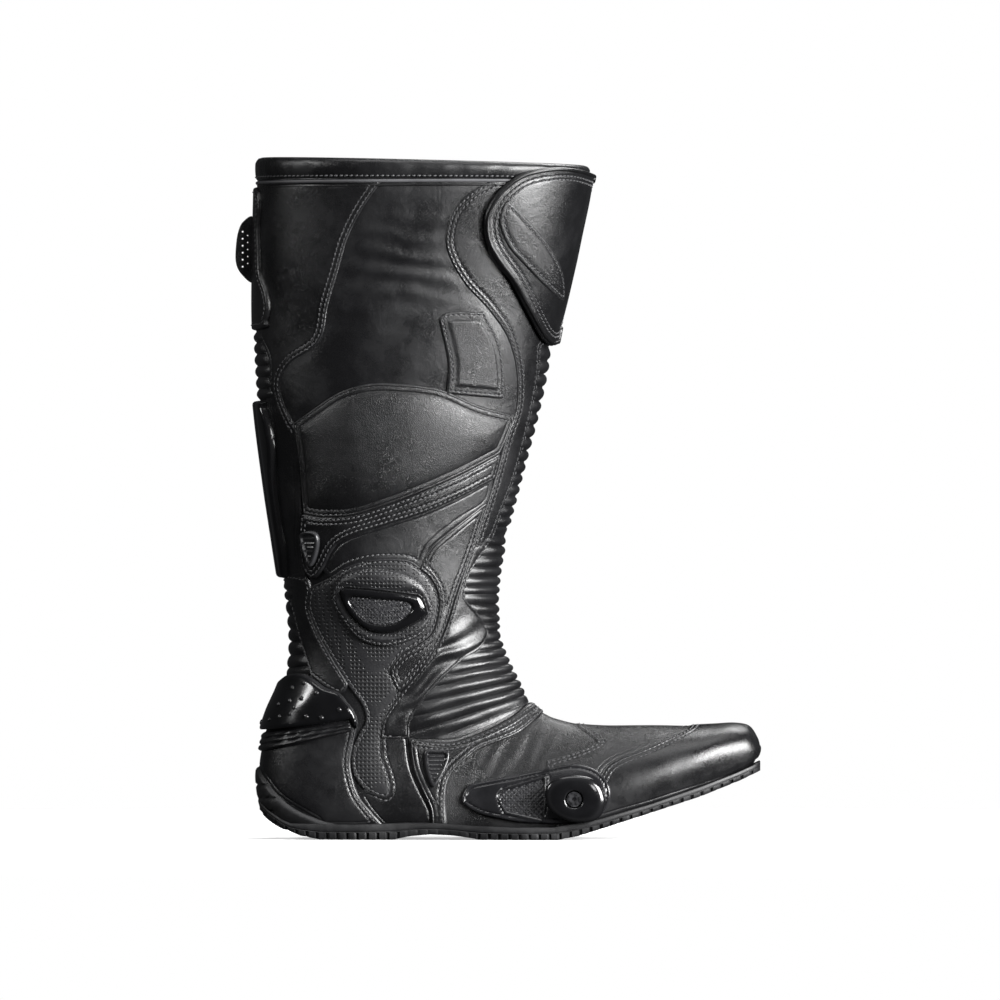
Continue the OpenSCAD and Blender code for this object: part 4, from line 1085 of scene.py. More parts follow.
# Counts of ribs down the shin and the instep, by place on the boot
SHIN_PHASE = ([2, 3, 4, 5, 6], [0, 6.0, 12.6, 19, 25])
INSTEP_PHASE = ([4, 5, 6, 7, 8, 9, 10, 11, 12, 13, 14],
                [12.6, 19, 24.4, 28.2, 30.5, 32.6, 34.4, 36.0, 37.6, 39.2, 41])


SHIN = outline([(28, 304), (25.5, 302)], moved(STRIP_EDGE, -3, 0),
               [(-3, 186), (90, 187), (90, 304), (28, 304)])
piece("leather_shin_ribs", "leather_rib", "shaft", "shin_bellows", [RIB],
      panel_of(SHIN, "front", 2, 5.6, L1, 0.6, step=1.0, step_b=2.2, edge=0.4,
               relief=[ribs(2.6, 0.3, 9, *SHIN_PHASE)]))


def instep_creases(q, p):
    return 0.5 * soft_noise(q[:, 0], 2 * q[:, 2], 14, 31) * np.clip(p.s / 11, 0, 1)


INSTEP = outline([(-8, 190), (-13, 176)], moved(FOLD_EDGE, -3, 0), [(-58, 62), (-42, 62), (-27, 62),
                 (-12, 67), (7, 76), (24, 87)], [(60, 90), (60, 190), (-8, 190)])
piece("leather_instep_ribs", "leather_rib", "bend", "instep_bellows", [RIB],
      panel_of(INSTEP, "front", 4.6, 13, L1, 0.6, step=0.9, step_b=2.2, edge=0.4,
               relief=[ribs(2.4, 0.25, 11, *INSTEP_PHASE), instep_creases]))


def fold_relief(q, p):
    x, z = q[:, 0], q[:, 2]
    along = (z - 0.55 * x + 5 * soft_noise(x, z, 18, 41)) / 7.0
    where = np.exp(-((z - 104) / 26) ** 2)
    return np.clip(p.s / 4, 0, 1) * (0.9 * where * np.sin(along * np.pi) + 0.3
                                     + 0.4 * soft_noise(x, z, 12, 43))


FOLD = outline(FOLD_SEAM, [(-72, 62), (-57, 62)], FOLD_EDGE[::-1])
piece("leather_instep_fold", "leather_smooth", "bend", "instep_fold", [SMOOTH, THREAD],
      both_of(grown(FOLD, 0.7), 4, 14, L1, 1.6, step=1.2, edge=1.1, stitches=(2.0,),
              limit=near(FOLD_SEAM), relief=[fold_relief]))

SIDE = outline([(-7, 206), (-16, 178), (-25.5, 152), (-33.5, 128), (-42, 112), (-55, 96)],
               [(-61, 90), (-66, 103), (-59.5, 113), (-49, 119), (-40, 127), (-36, 141),
                (-37, 152), (-42, 161), (-48, 166)], [(-48, 166), (-41, 179), (-24, 193), (-7, 206)])
piece("leather_side_panel", "leather_smooth", "bend", "side_panel", [SMOOTH, THREAD],
      both_of(grown(SIDE, 0.7), 3, 13, L1, 2.0, step=1.3, edge=1.3, stitches=(1.9, 4.4),
              limit=near(FOLD_SEAM, ANKLE_FRONT)))

ANKLE = outline(RING_TOP, ANKLE_FRONT, ANKLE_LOW)
piece("suede_ankle_panel", "suede", "bend", "ankle_panel", [SUEDE, THREAD],
      both_of(grown(ANKLE, 1.2), 4, 17, L1, 1.2, step=1.4, edge=0.8, stitches=(2.4,),
              relief=[crown(0.5, 4, 3)]))


piece("suede_ankle_ring", "suede", "bend", "ankle_ring", [SUEDE, THREAD],
      both_of(ring(RING_OUT), 4, 9, L1_TOP + 0.1, 2.0, step=1.1, edge=1.6, stitches=(1.6,),
              holes=[ring(CUP)], relief=[rise(1.2, 1.5, 3)], limit=near(RING_OUT + RING_OUT[:1], r=3)))


piece("plastic_ankle_cup", "tpu_gloss", "bend", "ankle_cup", [GLOSS],
      both_of(ring(CUP), 4, 9, L1_TOP + 0.1, 4.3, step=0.9, edge=2.0, start=0.1,
              holes=[ring(CUP_WINDOW)], relief=[rise(0.9, 2, 3)]))
piece("mesh_ankle_window", "mesh", "bend", "ankle_mesh", [MESH_CLOTH],
      both_of(grown(ring(CUP_WINDOW), 0.4), 4, 9, L1_TOP + 0.1, 2.4, step=0.9, edge=0.8,
              relief=[weave(0.5, 2.2)]))

# ---------------------------------------------------------------- back of the boot
ACH_PHASE = ([5, 6, 7, 8, 9, 10], [0, 5.0, 8.4, 11.0, 13.6, 16])


ACH = outline([(-175, 160), (-129, 160), (-126, 140), (-120, 120), (-113, 104)],
              [(-113, 104), (-119, 100), (-128, 98), (-175, 92)])
piece("leather_achilles_ribs", "leather_rib", "bend", "achilles_bellows", [RIB],
      panel_of(ACH, "back", 4.6, 10, L1, 0.6, step=0.9, step_b=2.0, edge=0.4,
               relief=[ribs(2.0, 0.2, 7, *ACH_PHASE)]))
REAR_STRIP = outline([(-133, 162), (-119, 160)], [(-119, 160), (-117, 152), (-118.5, 142),
                     (-113.5, 128), (-104.5, 112), (-93.5, 95)],
                     [(-93.5, 95), (-97, 90), (-105, 93), (-116, 101)],
                     [(-116, 101), (-122, 120), (-127, 140), (-133, 162)])
piece("leather_rear_strip", "leather_smooth", "bend", "rear_strip", [SMOOTH, THREAD],
      both_of(grown(REAR_STRIP, 0.8), 4, 11, L1, 1.9, step=1.3, edge=1.3, stitches=(2.0,)))

RB_PHASE = ([2, 3, 4], [0, 7, 14])
RB = outline([(-180, 314), (-151, 314), (-144, 303), (-140, 291), (-140, 281), (-141, 268),
              (-180, 268)])
piece("leather_back_ribs", "leather_rib", "shaft", "rear_bellows", [RIB],
      panel_of(RB, "back", 1.9, 3.4, L1, 0.6, step=0.9, step_b=1.8, edge=0.4,
               relief=[ribs(2.0, 0.3, 5, *RB_PHASE)]))
SPINE = outline([(-180, 269), (-146, 269), (-143, 265), (-140, 255), (-137.5, 240), (-137, 220),
                 (-134, 195), (-131, 176), (-130, 160)], [(-130, 160), (-180, 160)])
piece("plastic_spine_guard", "tpu_gloss", "shaft", "spine_guard", [GLOSS],
      panel_of(SPINE, "back", 2.4, 6.4, L1 + 1.0, 5.4, step=1.2, edge=2.6, start=0.15,
               relief=[lambda q, p: -0.7 * np.exp(-((np.abs(p.b - 0.5) * 300 - 8) / 1.2) ** 2)]))
REAR_FLAP = outline([(-180, 400), (-149, 400), (-147, 370), (-146, 348), (-142, 336), (-140.5, 326),
                     (-142, 318), (-145, 313), (-180, 311)])
piece("leather_rear_flap", "leather_smooth", "shaft", "rear_flap", [SMOOTH, THREAD],
      panel_of(REAR_FLAP, "back", 0.2, 2.4, L1_TOP + 0.1, 2.6, step=1.3, edge=1.8,
               stitches=(3.0,)))


def pull_tab():
    """A leather loop with two rows of small holes."""
    c = bpy.data.curves.new("pull_tab_curve", "CURVE")
    c.dimensions = "2D"
    c.fill_mode = "BOTH"
    loops = [ring([(-151, 381), (-157, 379), (-160, 373), (-161.4, 364), (-161.4, 354),
                   (-158, 347), (-151, 342.5), (-150.5, 360)], 8)]
    for x, z, r, holes in ((-157.7, 351.5, 0.95, 6), (-154.6, 353.5, 0.75, 5)):
        for k in range(holes):
            loops.append([(x + r * math.cos(a), z + 4.3 * k + r * math.sin(a))
                          for a in np.arange(14) * math.tau / 14])
    for loop in loops:
        s = c.splines.new("POLY")
        s.points.add(len(loop) - 1)
        for q, (x, z) in zip(s.points, loop):
            q.co = (x * MM, z * MM, 0, 1)
        s.use_cyclic_u = True
    c.extrude = 1.25 * MM
    c.bevel_depth = 0.4 * MM
    c.bevel_resolution = 2
    o = place("pull_tab_curve", c)
    me = bpy.data.meshes.new_from_object(o.evaluated_get(bpy.context.evaluated_depsgraph_get()))
    me.transform(Matrix.Rotation(math.pi / 2, 4, "X"))
    bpy.data.objects.remove(o)
    bpy.data.curves.remove(c)
    me.materials.clear()
    me.materials.append(TRIM)
    return place("leather_pull_tab", me)


finish_piece(pull_tab(), "leather_smooth", "shaft", "pull_tab")

# ---------------------------------------------------------------- shin flap
FLAP = outline([(90, 401), (60, 407), (45, 411), (30, 411.5), (14, 408), (3, 401), (-5, 392),
                (-10, 380), (-9, 366), (-3, 354), (6, 341), (15, 324), (23, 309), (29, 303),
                (33, 304), (60, 312), (90, 312)])
FLAP_BACK = outline([(90, 401), (60, 405), (23, 405)], [(23, 405), (12, 355), (2, 313)],
                    [(2, 313), (60, 312), (90, 312)])
FLAP_SIDES = sides(FLAP, FLAP_BACK)


piece("leather_shin_flap", "leather_smooth", "flap", "shin_flap", [SMOOTH, THREAD],
      panel_of(FLAP_SIDES, "front", 0, 3, BASE + 4.9, 2.0, step=1.5, edge=1.2, stitches=(5.2, 7.6),
               relief=[crown(0.8, 8, 6), rumple(0.25, 22, 51, 8)]))


def flap_edge(mesh):
    """A cord along the flap, inset from its edge."""
    inset = 1.4
    p = patch(FLAP_SIDES, "front", 0, 3, 1.5)
    p.split(inset)
    p.split(0.0)
    p.clip()
    for chain in p.lines(inset):
        t, b = p.t[chain], p.b[chain]
        tube(mesh, surface(t, b, BASE + 7.0), normals(t, b), 1.15, closed=chain[0] == chain[-1])


piece("leather_flap_piping", "leather_smooth", "flap", "flap_piping", [TRIM], flap_edge)
F_BADGE = outline([(2, 391), (-1, 384), (-2, 376), (3, 363), (12, 352), (22, 341), (32, 331)],
                  [(32, 331), (35, 331), (35, 345), (31, 356), (25, 366), (16, 377), (8, 386),
                   (2, 391)])
piece("leather_flap_badge", "leather_satin", "flap", "flap_badge", [GRAIN_FINE, THREAD],
      panel_of(F_BADGE, "out", 0, 3, BASE + 6.9, 1.5, step=1.0, edge=1.2, stitches=(2.6,),
               relief=[rise(0.5, 3.2, 2)]))
S_BADGE = outline([(-37, 319), (-30, 323), (-9, 323)], [(-9, 323), (0, 305), (3, 288), (3, 270)],
                  [(3, 270), (-32, 273)], [(-32, 273), (-31, 292), (-37, 319)])
piece("leather_side_badge", "leather_satin", "shaft", "side_badge", [GRAIN_FINE, THREAD],
      panel_of(S_BADGE, "out", 1, 4, L1_TOP - 0.3, 1.9, step=1.0, edge=1.2, stitches=(2.0,),
               relief=[rise(1.1, 5.0, 1.2)]))

# ---------------------------------------------------------------- closing of the flap, zip tapes
HOOK_OUT = outline([(-2, 388), (8, 396), (28, 396)], [(28, 396), (30, 360), (22, 325)],
                   [(22, 325), (10, 341), (-1, 362), (-2, 388)])
LOOP_OUT = outline([(-8, 390), (2, 396), (30, 396)], [(30, 396), (32, 360), (24, 318)],
                   [(24, 318), (8, 341), (-6, 360), (-8, 390)])
PILE = weave(0.22, 4.2, 3.4)
piece("tape_hook_patch", "hook", "flap", "hook_patch", [HOOK, THREAD_DARK],
      panel_of(HOOK_OUT, "out", 0, 3, BASE + 3.75, 0.7, step=0.9, edge=0.5, relief=[PILE]))
piece("tape_loop_patch", "hook", "shaft", "loop_patch", [HOOK, THREAD_DARK],
      panel_of(LOOP_OUT, "out", 0, 3, L1_TOP + 0.2, 0.85, step=0.9, edge=0.5, stitches=(2.2,),
               channel=0.2, relief=[PILE]))
ROOT = outline([(20.5, 398), (14, 369), (9.5, 355), (-0.5, 313)], [(-0.5, 313), (-9, 313)],
               [(-9, 313), (0, 355), (11, 398)], [(11, 398), (20.5, 398)])
piece("leather_flap_root", "leather_smooth", "shaft", "flap_root", [TRIM, THREAD],
      panel_of(ROOT, "in", 0, 3, L1_TOP + 0.3, 3.6, step=1.0, edge=1.6, start=0.2,
               stitches=(2.6,)))

ZIP_AT = np.array([-52.0, 45.6, 178.0])
ZIP_LEAN = math.radians(4.42)
ZIP_OUT = np.array([0, math.cos(ZIP_LEAN), -math.sin(ZIP_LEAN)])
ZIP_UP = np.array([0, math.sin(ZIP_LEAN), math.cos(ZIP_LEAN)])


def zip_tape():
    """Two woven tapes with a corded inner edge, sewn down in two rows."""
    mesh = Mesh()
    outline_xy = [(0.7, 0.0), (0.7, 0.5), (1.0, 0.78), (1.6, 0.8), (2.6, 0.6), (2.9, 0.42),
                  (5, 0.42), (7, 0.45), (9.0, 0.5), (10.4, 0.55), (10.9, 0.4), (11, 0.0)]
    up = np.linspace(5, 220, 216)
    rows = np.arange(8, 218, 3.0)
    for side in (-1, 1):
        v = [ZIP_AT + (side * x, 0, 0) + ZIP_OUT * (y + 0.03 * (y > 0.3) * math.sin(k * 1.7))
             + ZIP_UP * z for k, z in enumerate(up) for x, y in outline_xy]
        n, m = len(up), len(outline_xy)
        mesh.add(np.array(v), np.vstack([rings(n, m), caps(n, m)]))
        for x in (7.0, 9.4):
            pos = ZIP_AT + (side * x, 0, 0) + ZIP_OUT * 0.62 + ZIP_UP * rows[:, None]
            add_stitches(mesh, pos, ZIP_UP + 0 * pos, ZIP_OUT + 0 * pos, 2.1, 0.8)
    return mesh.build("tape_zip_pair", [TAPE, THREAD])


finish_piece(zip_tape(), "tape", "shaft", "zip_tapes")


# ---------------------------------------------------------------- vents
def slats(q, p):
    return 0.5 * np.clip((p.s - 2.6) / 0.3, 0, 1) * np.clip(np.sin(q[:, 2] * 2.4), 0, 1)


def vent_piece(name, node_name, body, points, low, t0, t1):
    piece(name, "tpu_matte", body, node_name, [VENT],
          both_of(ring(points), t0, t1, low, 2.6, step=0.8, edge=1.1, start=0.1,
                  relief=[rise(-1.5, 1.9, 0.5), slats]))


vent_piece("plastic_upper_vent", "upper_vent", "bend",
           [(-120.5, 187), (-115, 189), (-110.5, 187), (-109.5, 181), (-111.5, 172), (-114.5, 167),
            (-117, 171), (-119.5, 179)], BASE + 3.2, 3, 7)
vent_piece("plastic_lower_vent", "lower_vent", "foot",
           [(-46, 54), (-39, 54.5), (-33, 54), (-31.5, 50), (-34, 42), (-39, 33), (-42, 33),
            (-45, 40), (-46.5, 48)], L2_TOP + 0.1, 10, 17)

# ---------------------------------------------------------------- foot panels
def hem(x0, x1, down=1.6):
    """The foot's lower edge, tucked behind the sole."""
    xs = np.linspace(x0, x1, 12)
    return [(x, sole_top(x) - down) for x in xs]


QUARTER = outline([(-72, 74), (-58, 66), (-55, 62)], [(-55, 62), (-54, 52), (-52, 42), (-47, 30),
                  (-42, 19), (-41, 9)], hem(-41, -72), [(-72, 8), (-80, 18), (-86, 28)],
                  [(-86, 28), (-80, 30), (-70, 26), (-66, 30), (-67, 39), (-71, 52), (-72, 74)])
piece("leather_quarter", "leather_smooth", "foot", "quarter_panel", [SMOOTH, THREAD],
      both_of(grown(QUARTER, 1.0), 8, 17, L1, 1.2, step=1.5, edge=0.9, stitches=(3.2,),
              limit=near(ANKLE_FRONT[-2:] + ANKLE_LOW[:8], r=6)))


HEEL_CUP = outline([(-180, 96), (-140, 92), (-126, 96), (-114, 92), (-106, 85), (-98, 82),
                    (-88, 76)], HEEL_EDGE, hem(-72, -110), [(-112, 11), (-134, 24), (-145, 37),
                                                            (-158, 54), (-180, 56)])
piece("leather_heel_cup", "leather_satin", "foot", "heel_cup", [SATIN, THREAD],
      panel_of(grown(HEEL_CUP, 0.5), "back", 8, 17, L1, 1.8, step=1.8, edge=1.3,
               stitches=(1.8, 4.2), limit=near(HEEL_EDGE), relief=[rumple(0.35, 22, 61, 6), crown(0.5, 5)]))

GUARD = outline([(-180, 66.5), (-147, 67), (-120, 69.5), (-91, 73.5)],
                [(-91, 73.5), (-87.5, 68), (-86.5, 72), (-89, 79), (-93, 84), (-98, 90), (-106, 93),
                 (-114, 98.5), (-121, 101.5), (-128, 101), (-134, 96), (-141, 90), (-147, 86),
                 (-180, 84)])


GUARD_DOME = dome(1.6, (-140, 76), (50, 30))
STUDS = [(-119, 95.5), (-126, 92.5), (-111.5, 89.5), (-120, 86), (-127.5, 84.5), (-134, 82),
         (-124.5, 80.5), (-127, 76.5), (-133.5, 74.5), (-139.5, 72.5), (-144.5, 71), (-98, 79.5),
         (-108.5, 74.5), (-117.5, 75)]


def guard_studs(mesh):
    """Small round studs in loose rows over the guard."""
    ang = np.arange(16)[:, None] * math.tau / 16
    rows = [(1.7, -0.8), (1.7, 0.35), (1.45, 0.85), (0.9, 1.15), (0.05, 1.25)]
    n, m = len(rows), len(ang)
    share = np.linspace(0.02, 0.499, 900)
    for b in (share, 1 - share):
        t, b = np.meshgrid(np.linspace(7.6, 11, 260), b, indexing="ij")
        q = surface(t, b, BASE + 5).reshape(-1, 3)
        out = normals(t.ravel(), b.ravel())
        for x, z in STUDS:
            i = np.argmin((q[:, 0] - x) ** 2 + (q[:, 2] - z) ** 2)
            u = unit(np.cross(out[i], (0, 0, 1)))
            w = np.cross(out[i], u)
            foot = q[i] + out[i] * (0.3 + GUARD_DOME(q[i], None))
            v = [foot + out[i] * h + r * (np.cos(ang) * u + np.sin(ang) * w) for r, h in rows]
            # Small edge values paint the stud tops lighter: partly rubbed wear, partly a painted highlight.
            mesh.add(np.vstack(v), np.vstack([rings(n, m), caps(n, m)]), 0,
                     edge=np.repeat([9, 2, 0.8, 0.3, 0.2], m))


piece("plastic_heel_guard", "tpu_gloss", "foot", "heel_guard", [GLOSS],
      panel_of(GUARD, "back", 7, 12.5, L1_TOP + 0.1, 4.2, step=1.2, edge=2.6, start=0.12,
               relief=[GUARD_DOME]), guard_studs)


def band_relief(q, p):
    low = np.interp(q[:, 0], [-170, -150, -120, -90], [51, 53.5, 59.5, 66])
    high = np.interp(q[:, 0], [-170, -152, -120, -91], [64.5, 64.7, 68, 72])
    return 1.5 * bead(3 * (q[:, 2] - low) / (high - low), 0.5) * np.clip(p.s / 1.2, 0, 1)


HEEL_BAND = outline([(-180, 65), (-152, 65), (-120, 68.3), (-91, 72.3)],
                    [(-91, 72.3), (-89.5, 66.5)], [(-89.5, 66.5), (-120, 59.3), (-150, 53.3),
                                                   (-180, 52.8)])
piece("leather_heel_band", "leather_rib", "foot", "heel_band", [RIB],
      panel_of(HEEL_BAND, "back", 8.3, 12.5, L1_TOP + 0.1, 1.6, step=0.8, step_b=1.6, edge=0.8,
               relief=[band_relief]))

WRAP = outline([(-180, 57), (-158, 55), (-151, 49.5), (-145, 38), (-134, 25), (-123, 17),
                (-109, 11.5), (-97, 8.5)], hem(-97, -128, 2.5), [(-128.5, 5.5), (-133, 7.5),
                (-142, 13.5), (-149, 20.5), (-158, 32), (-180, 40)])


def wrap_cuts(q, p):
    """Three short cuts across the back."""
    cuts = sum(np.exp(-((q[:, 2] - z) / 0.7) ** 2) for z in (33.5, 25.5, 17.5))
    return -1.1 * cuts * np.clip((-134 - q[:, 0]) / 3, 0, 1)


piece("rubber_heel_wrap", "rubber", "foot", "heel_wrap", [RUBBER],
      panel_of(grown(WRAP, 0.3), "back", 8, 17, L1, 3.9, step=1.3, edge=1.8, start=0.15,
               relief=[wrap_cuts, crown(0.6, 3)]))

SADDLE = outline(SADDLE_TOP, [(22, 84.5), (30, 92), (34, 86), (26, 77)], SADDLE_LOW, hem(-33, -41),
                 [(-41, 9), (-42, 19), (-47, 30), (-52, 42), (-54, 52), (-55, 62)])
piece("leather_saddle_strap", "leather_smooth", "foot", "saddle_strap", [SMOOTH, THREAD],
      panel_of(grown(SADDLE, 0.8), "front", 8.6, 19, L1, 2.8, step=1.5, edge=1.7,
               stitches=(2.1, 4.8), limit=near(SADDLE_TOP, SADDLE_LOW),
               relief=[rumple(0.3, 20, 71, 6)]))

SPLIT = [(32, 87), (46, 77), (50, 69.5), (56, 65), (61, 60), (56, 56.5), (43.5, 52), (29.5, 48)]


def vamp_relief(q, p):
    x, z = q[:, 0], q[:, 2]
    flex = np.exp(-((x - 12) / 22) ** 2) * np.exp(-((z - 62) / 22) ** 2)
    return np.clip(p.s / 6, 0, 1) * (0.5 * flex * np.sin((x - 0.5 * z) / 5.2 * np.pi
                                                         + 2 * soft_noise(x, z, 16, 81))
                                     + 0.35 * soft_noise(x, z, 24, 83))


VAMP = outline([(26, 77), (30, 90), (32, 87)], SPLIT, [(29.5, 48), (31, 30), (35, 20), (35, 6)],
               hem(35, -33), SADDLE_LOW[::-1][:-1] + [(26, 77)])
piece("leather_vamp_grain", "leather_grain", "foot", "vamp_grain", [GRAIN, THREAD],
      panel_of(grown(VAMP, 1.4), "front", 10.5, 22, L1, 1.2, step=1.5, edge=0.9,
               relief=[vamp_relief]))
OVERLAY = outline([(32, 87), (40, 86), (60, 84), (118, 84)], [(118, 84), (119, 72)],
                  TOE_SEAM, hem(50, 35), [(35, 8), (34, 20), (31, 30), (29.5, 48)], SPLIT[::-1])
piece("leather_vamp_overlay", "leather_smooth", "foot", "vamp_overlay", [GRAIN_FINE, THREAD],
      panel_of(grown(OVERLAY, 0.9), "front", 12, 23, L1, 1.7, step=1.5, edge=1.2,
               stitches=(2.0, 4.6), limit=near(SPLIT[2:], r=6), relief=[vamp_relief]))
TOE = outline(TOE_SEAM[::-1], [(119, 72), (119, 90), (185, 90), (185, 46)], hem(166, 50))
piece("leather_toe_cap", "leather_smooth", "foot", "toe_cap", [CAP, THREAD],
      panel_of(TOE, "front", 13.5, LAST + 1, L1, 2.1, step=1.6, edge=1.7, stitches=(2.1, 4.8),
               limit=near(TOE_SEAM),
               relief=[crown(0.5, 6)]))

# ---------------------------------------------------------------- toe slider
BASE_OUT = ring([(-23, 25), (-19, 33), (-6, 36.5), (13, 40), (27, 43), (44, 46), (58, 43), (67, 34),
                 (68, 24), (62, 15), (48, 11.2), (27, 10.4), (13, 11), (1, 13), (-12, 16),
                 (-21, 21)])
BASE_IN = outline([(5, 18), (26, 13)], [(26, 13), (27, 25), (27, 37)], [(27, 37), (14, 33), (4, 30)],
                  [(4, 30), (1.5, 25), (5, 18)])
piece("plastic_slider_base", "tpu_matte", "foot", "slider_base", [MATT],
      panel_of(BASE_OUT, "out", 12.5, 23, L1_TOP - 0.4, 2.6, step=1.0, edge=1.5, start=0.2,
               holes=[BASE_IN],
               relief=[lambda q, p: 0.8 * np.clip((q[:, 0] - 26) / 4, 0, 1)
                       - 0.7 * np.exp(-((p.s - 2.6) / 0.5) ** 2)]))
piece("mesh_slider_insert", "mesh", "foot", "slider_mesh", [MESH_CLOTH],
      panel_of(grown(BASE_IN, 0.5), "out", 12.5, 22, L1_TOP - 0.4, 1.0, step=0.8, edge=0.6,
               relief=[weave(0.35, 2.0)]))

SLIDER_AT = (46, -50.2, 25)
PUCK = ring([(-18, 4), (-14, 11), (-4, 14.5), (9, 13.5), (16, 8), (19, -1), (17, -9), (11, -13.5),
             (0, -14), (-9, -11), (-16, -5)], 8)


def slider_puck():
    """Rings of share of the outline, or else radius, and height off the boot."""
    a = np.arange(120) * math.tau / 120
    at = np.arctan2(PUCK[:, 1], PUCK[:, 0])
    order = np.argsort(at)
    r = np.interp(a, at[order], np.hypot(*PUCK[order].T), period=math.tau)
    rows = [(0.0, 2.3, 0.0), (1.0, 0, 0.0), (1.0, 0, 0.2), (1.0, 0, 3.6), (0.985, 0, 4.6),
            (0.94, 0, 5.4), (0.86, 0, 6.1), (0.72, 0, 6.7), (0.56, 0, 7.0), (0, 6.4, 7.0),
            (0, 5.8, 6.8), (0, 5.4, 6.3), (0, 5.3, 2.7), (0, 5.0, 2.5), (0, 2.3, 2.5)]
    x, y, z = SLIDER_AT
    v = []
    for share, fixed, up in rows:
        reach = share * r + fixed
        v.append(np.stack([x + reach * np.cos(a), y - up + 0 * a, z + reach * np.sin(a)], 1))
    mesh = Mesh()
    # Small edge values paint the shoulders and the rim lighter: partly rubbed wear, partly a painted
    # highlight.
    mesh.add(np.vstack(v), rings(len(rows), len(a), closed=True), 0,
             edge=np.repeat([9, 1, 1, 3, 1, 0.6, 0.5, 1, 4, 1, 0.3, 1, 9, 9, 9], len(a)))
    return mesh.build("plastic_toe_slider", [GLOSS])


finish_piece(slider_puck(), "tpu_gloss", "foot", "toe_slider")


# ---------------------------------------------------------------- sole
def sole():
    """Welt, side wall with a groove and notches, and a tread cut in slanting bars."""
    xs = np.concatenate([np.arange(-147, 146, 0.9),
                         146 + 14.5 * np.sin(np.linspace(0, np.pi / 2, 26))])
    plan = curve(SOLE_PLAN, 8)
    yc = np.interp(xs, plan[:, 0], plan[:, 1])
    half = np.interp(xs, plan[:, 0], plan[:, 2])
    low = sole_bottom(xs)
    high = np.maximum(sole_top(xs) + 0.5, low + 5)
    arch = np.clip(np.minimum(xs + 64, -14 - xs) / 6, 0, 1)
    notch = np.clip(1.6 * np.cos(xs / 6.2 * math.tau) - 0.9, 0, 0.7) / 0.7 * (1 - 0.8 * arch)
    tall = high - low
    rows = [(4.0, high - 0.4), (0.9, high), (0.25, high - 0.4), (0.0, high - 1.2)]
    rows += [(inset, low + share * tall) for inset, share in
             [(0.0, 0.62), (0.15, 0.56), (0.75, 0.54), (0.75, 0.51), (0.15, 0.49), (0.0, 0.46)]]
    rows += [(1.6 * notch, low + 0.44 * tall), (0.2 + 1.9 * notch, low + 0.12 * tall + 0.3),
             (0.8 + 1.9 * notch, low + 0.2)]
    cols = [np.stack([xs, yc - (half - inset), z], 1) for inset, z in rows]
    reach = half - 1.4 - 1.9 * notch
    for c in np.linspace(-1, 1, 96)[1:-1]:
        y = yc + c * reach
        slant = (xs - 0.28 * np.abs(y)) / 11.0
        groove = np.clip(1 - np.abs(slant - np.floor(slant) - 0.5) / 0.11, 0, 1)
        middle = np.clip(1 - np.abs(y - yc) / 1.6, 0, 1) * (1 - arch)
        depth = np.maximum(groove, middle) * (1 - arch)
        cols.append(np.stack([xs, y, low + 2.1 * np.clip(depth * 1.6, 0, 1) + 0.6 * arch], 1))
    cols += [np.stack([xs, yc + (half - inset), z], 1) for inset, z in rows[::-1]]
    n, m = len(xs), len(cols)
    mesh = Mesh()
    mesh.add(np.stack(cols, 1).reshape(-1, 3), np.vstack([rings(n, m), caps(n, m)]))
    return mesh.build("rubber_sole", [RUBBER], 30)


finish_piece(sole(), "rubber", "foot", "outsole", "heel_tread", "forefoot_tread")

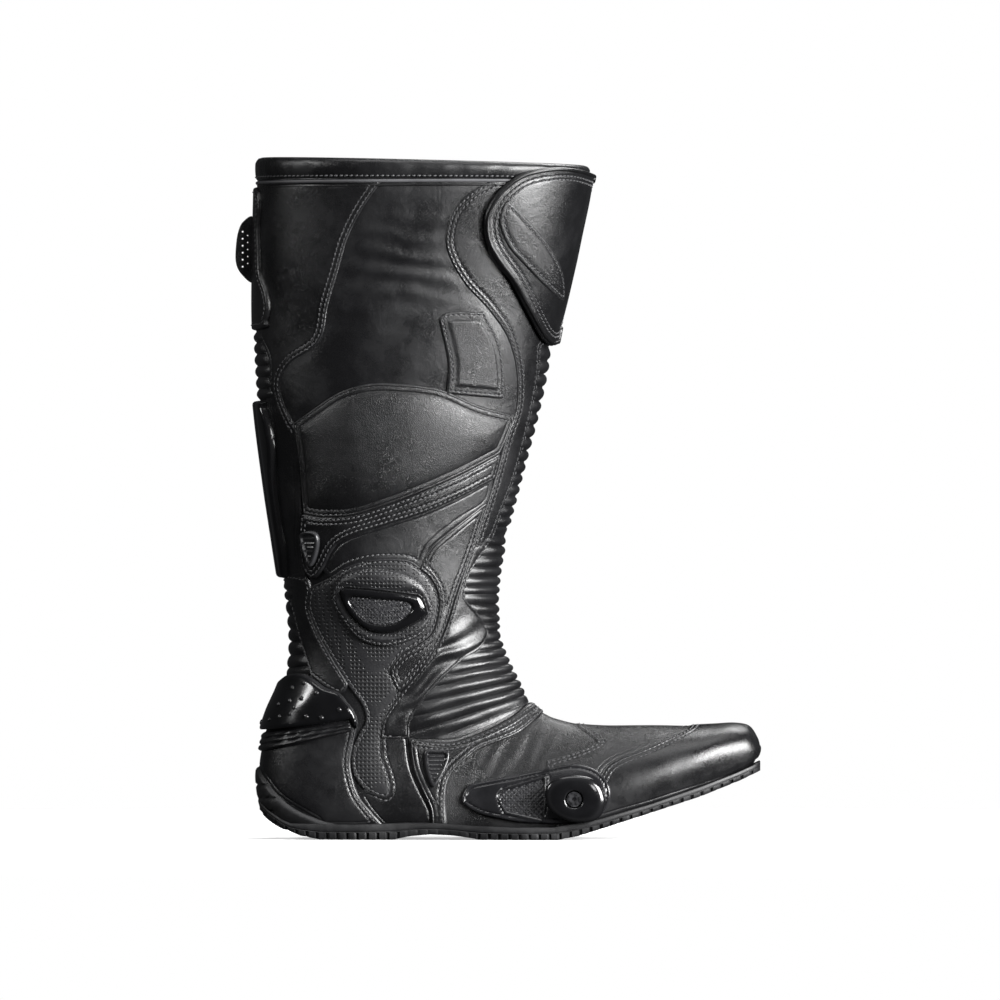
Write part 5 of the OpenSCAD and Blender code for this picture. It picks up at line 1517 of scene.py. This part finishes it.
# ---------------------------------------------------------------- studio
def floor():
    """A pale disc that fades out, seen only by the camera and by shadows."""
    mat, nt, bsdf, pos = new_material("floor_white")
    far = node(nt, "ShaderNodeVectorMath", {0: pos}, operation="LENGTH").outputs["Value"]
    base = blend_colour(nt, noise(nt, pos, 40, 4), (0.93, 0.93, 0.93), (0.97, 0.97, 0.97))
    feed(nt, bsdf, {"Base Color": base, "Roughness": 0.9, "Specular IOR Level": 0.1,
                    "Emission Color": (1, 1, 1, 1), "Emission Strength": 0.45})
    clear = node(nt, "ShaderNodeBsdfTransparent")
    mix = node(nt, "ShaderNodeMixShader", {0: span(nt, far, 0.35, 0.95, 0.0, 1.0),
                                           1: bsdf.outputs[0], 2: clear.outputs[0]})
    feed(nt, nt.nodes["Material Output"], {0: mix.outputs[0]})
    circles, segs = np.linspace(0, 1.0, 24), 96
    v = [(0, 0, 0)]
    for r in circles[1:]:
        v += [(r * math.cos(a), r * math.sin(a), 0) for a in np.arange(segs) * math.tau / segs]
    f = [(0, 1 + j, 1 + (j + 1) % segs) for j in range(segs)]
    for k in range(len(circles) - 2):
        for j in range(segs):
            a, b = 1 + k * segs + j, 1 + k * segs + (j + 1) % segs
            f.append((a, a + segs, b + segs, b))
    me = bpy.data.meshes.new("floor")
    me.from_pydata(v, [], f)
    me.materials.append(mat)
    o = place("floor", me)
    o.location = (0, 0, -0.0003)
    o.visible_glossy = False
    o.visible_diffuse = False


def light(name, at, to, size, power):
    d = bpy.data.lights.new(name, "AREA")
    d.energy = power
    d.shape = "RECTANGLE"
    d.size, d.size_y = size
    o = place(name, d)
    o.location = at
    o.visible_camera = False
    o.rotation_euler = (Vector(to) - Vector(at)).to_track_quat("-Z", "Y").to_euler()


def world():
    """White behind the boot for the camera, and a faint glow on everything else."""
    w = bpy.data.worlds.new("studio")
    w.use_nodes = True
    nt = w.node_tree
    nt.nodes.clear()
    seen = node(nt, "ShaderNodeBackground", {"Color": (1, 1, 1, 1), "Strength": 1.0})
    glow = node(nt, "ShaderNodeBackground", {"Color": (0.8, 0.82, 0.85, 1), "Strength": 0.05})
    ray = node(nt, "ShaderNodeLightPath").outputs["Is Camera Ray"]
    mix = node(nt, "ShaderNodeMixShader", {0: ray, 1: glow.outputs[0], 2: seen.outputs[0]})
    node(nt, "ShaderNodeOutputWorld", {0: mix.outputs[0]})
    bpy.context.scene.world = w


floor()
world()
light("key_right", (2.0, -1.5, 0.8), (0, 0, 0.2), (1.3, 1.3), 245)
light("front_right", (1.1, -2.4, 0.8), (0, 0, 0.25), (0.45, 0.45), 9)
light("top_soft", (0.1, -0.4, 1.9), (0, 0, 0.1), (1.3, 0.9), 13)
light("rim_left", (-1.9, -0.9, 1.3), (0, 0, 0.32), (0.35, 0.7), 20)
light("inner_fill", (0.6, 1.3, 2.0), (0, 0, 0.2), (0.9, 0.9), 26)

cam_data = bpy.data.cameras.new("camera")
cam_data.lens = 526.8
cam_data.sensor_width = 36
cam_data.clip_end = 100
cam = place("camera", cam_data)
cam.location = (0.0006, -9.0, 0.208)
cam.rotation_euler = (math.radians(90), 0, 0)
bpy.context.scene.camera = cam
bpy.context.scene.view_settings.view_transform = "Standard"
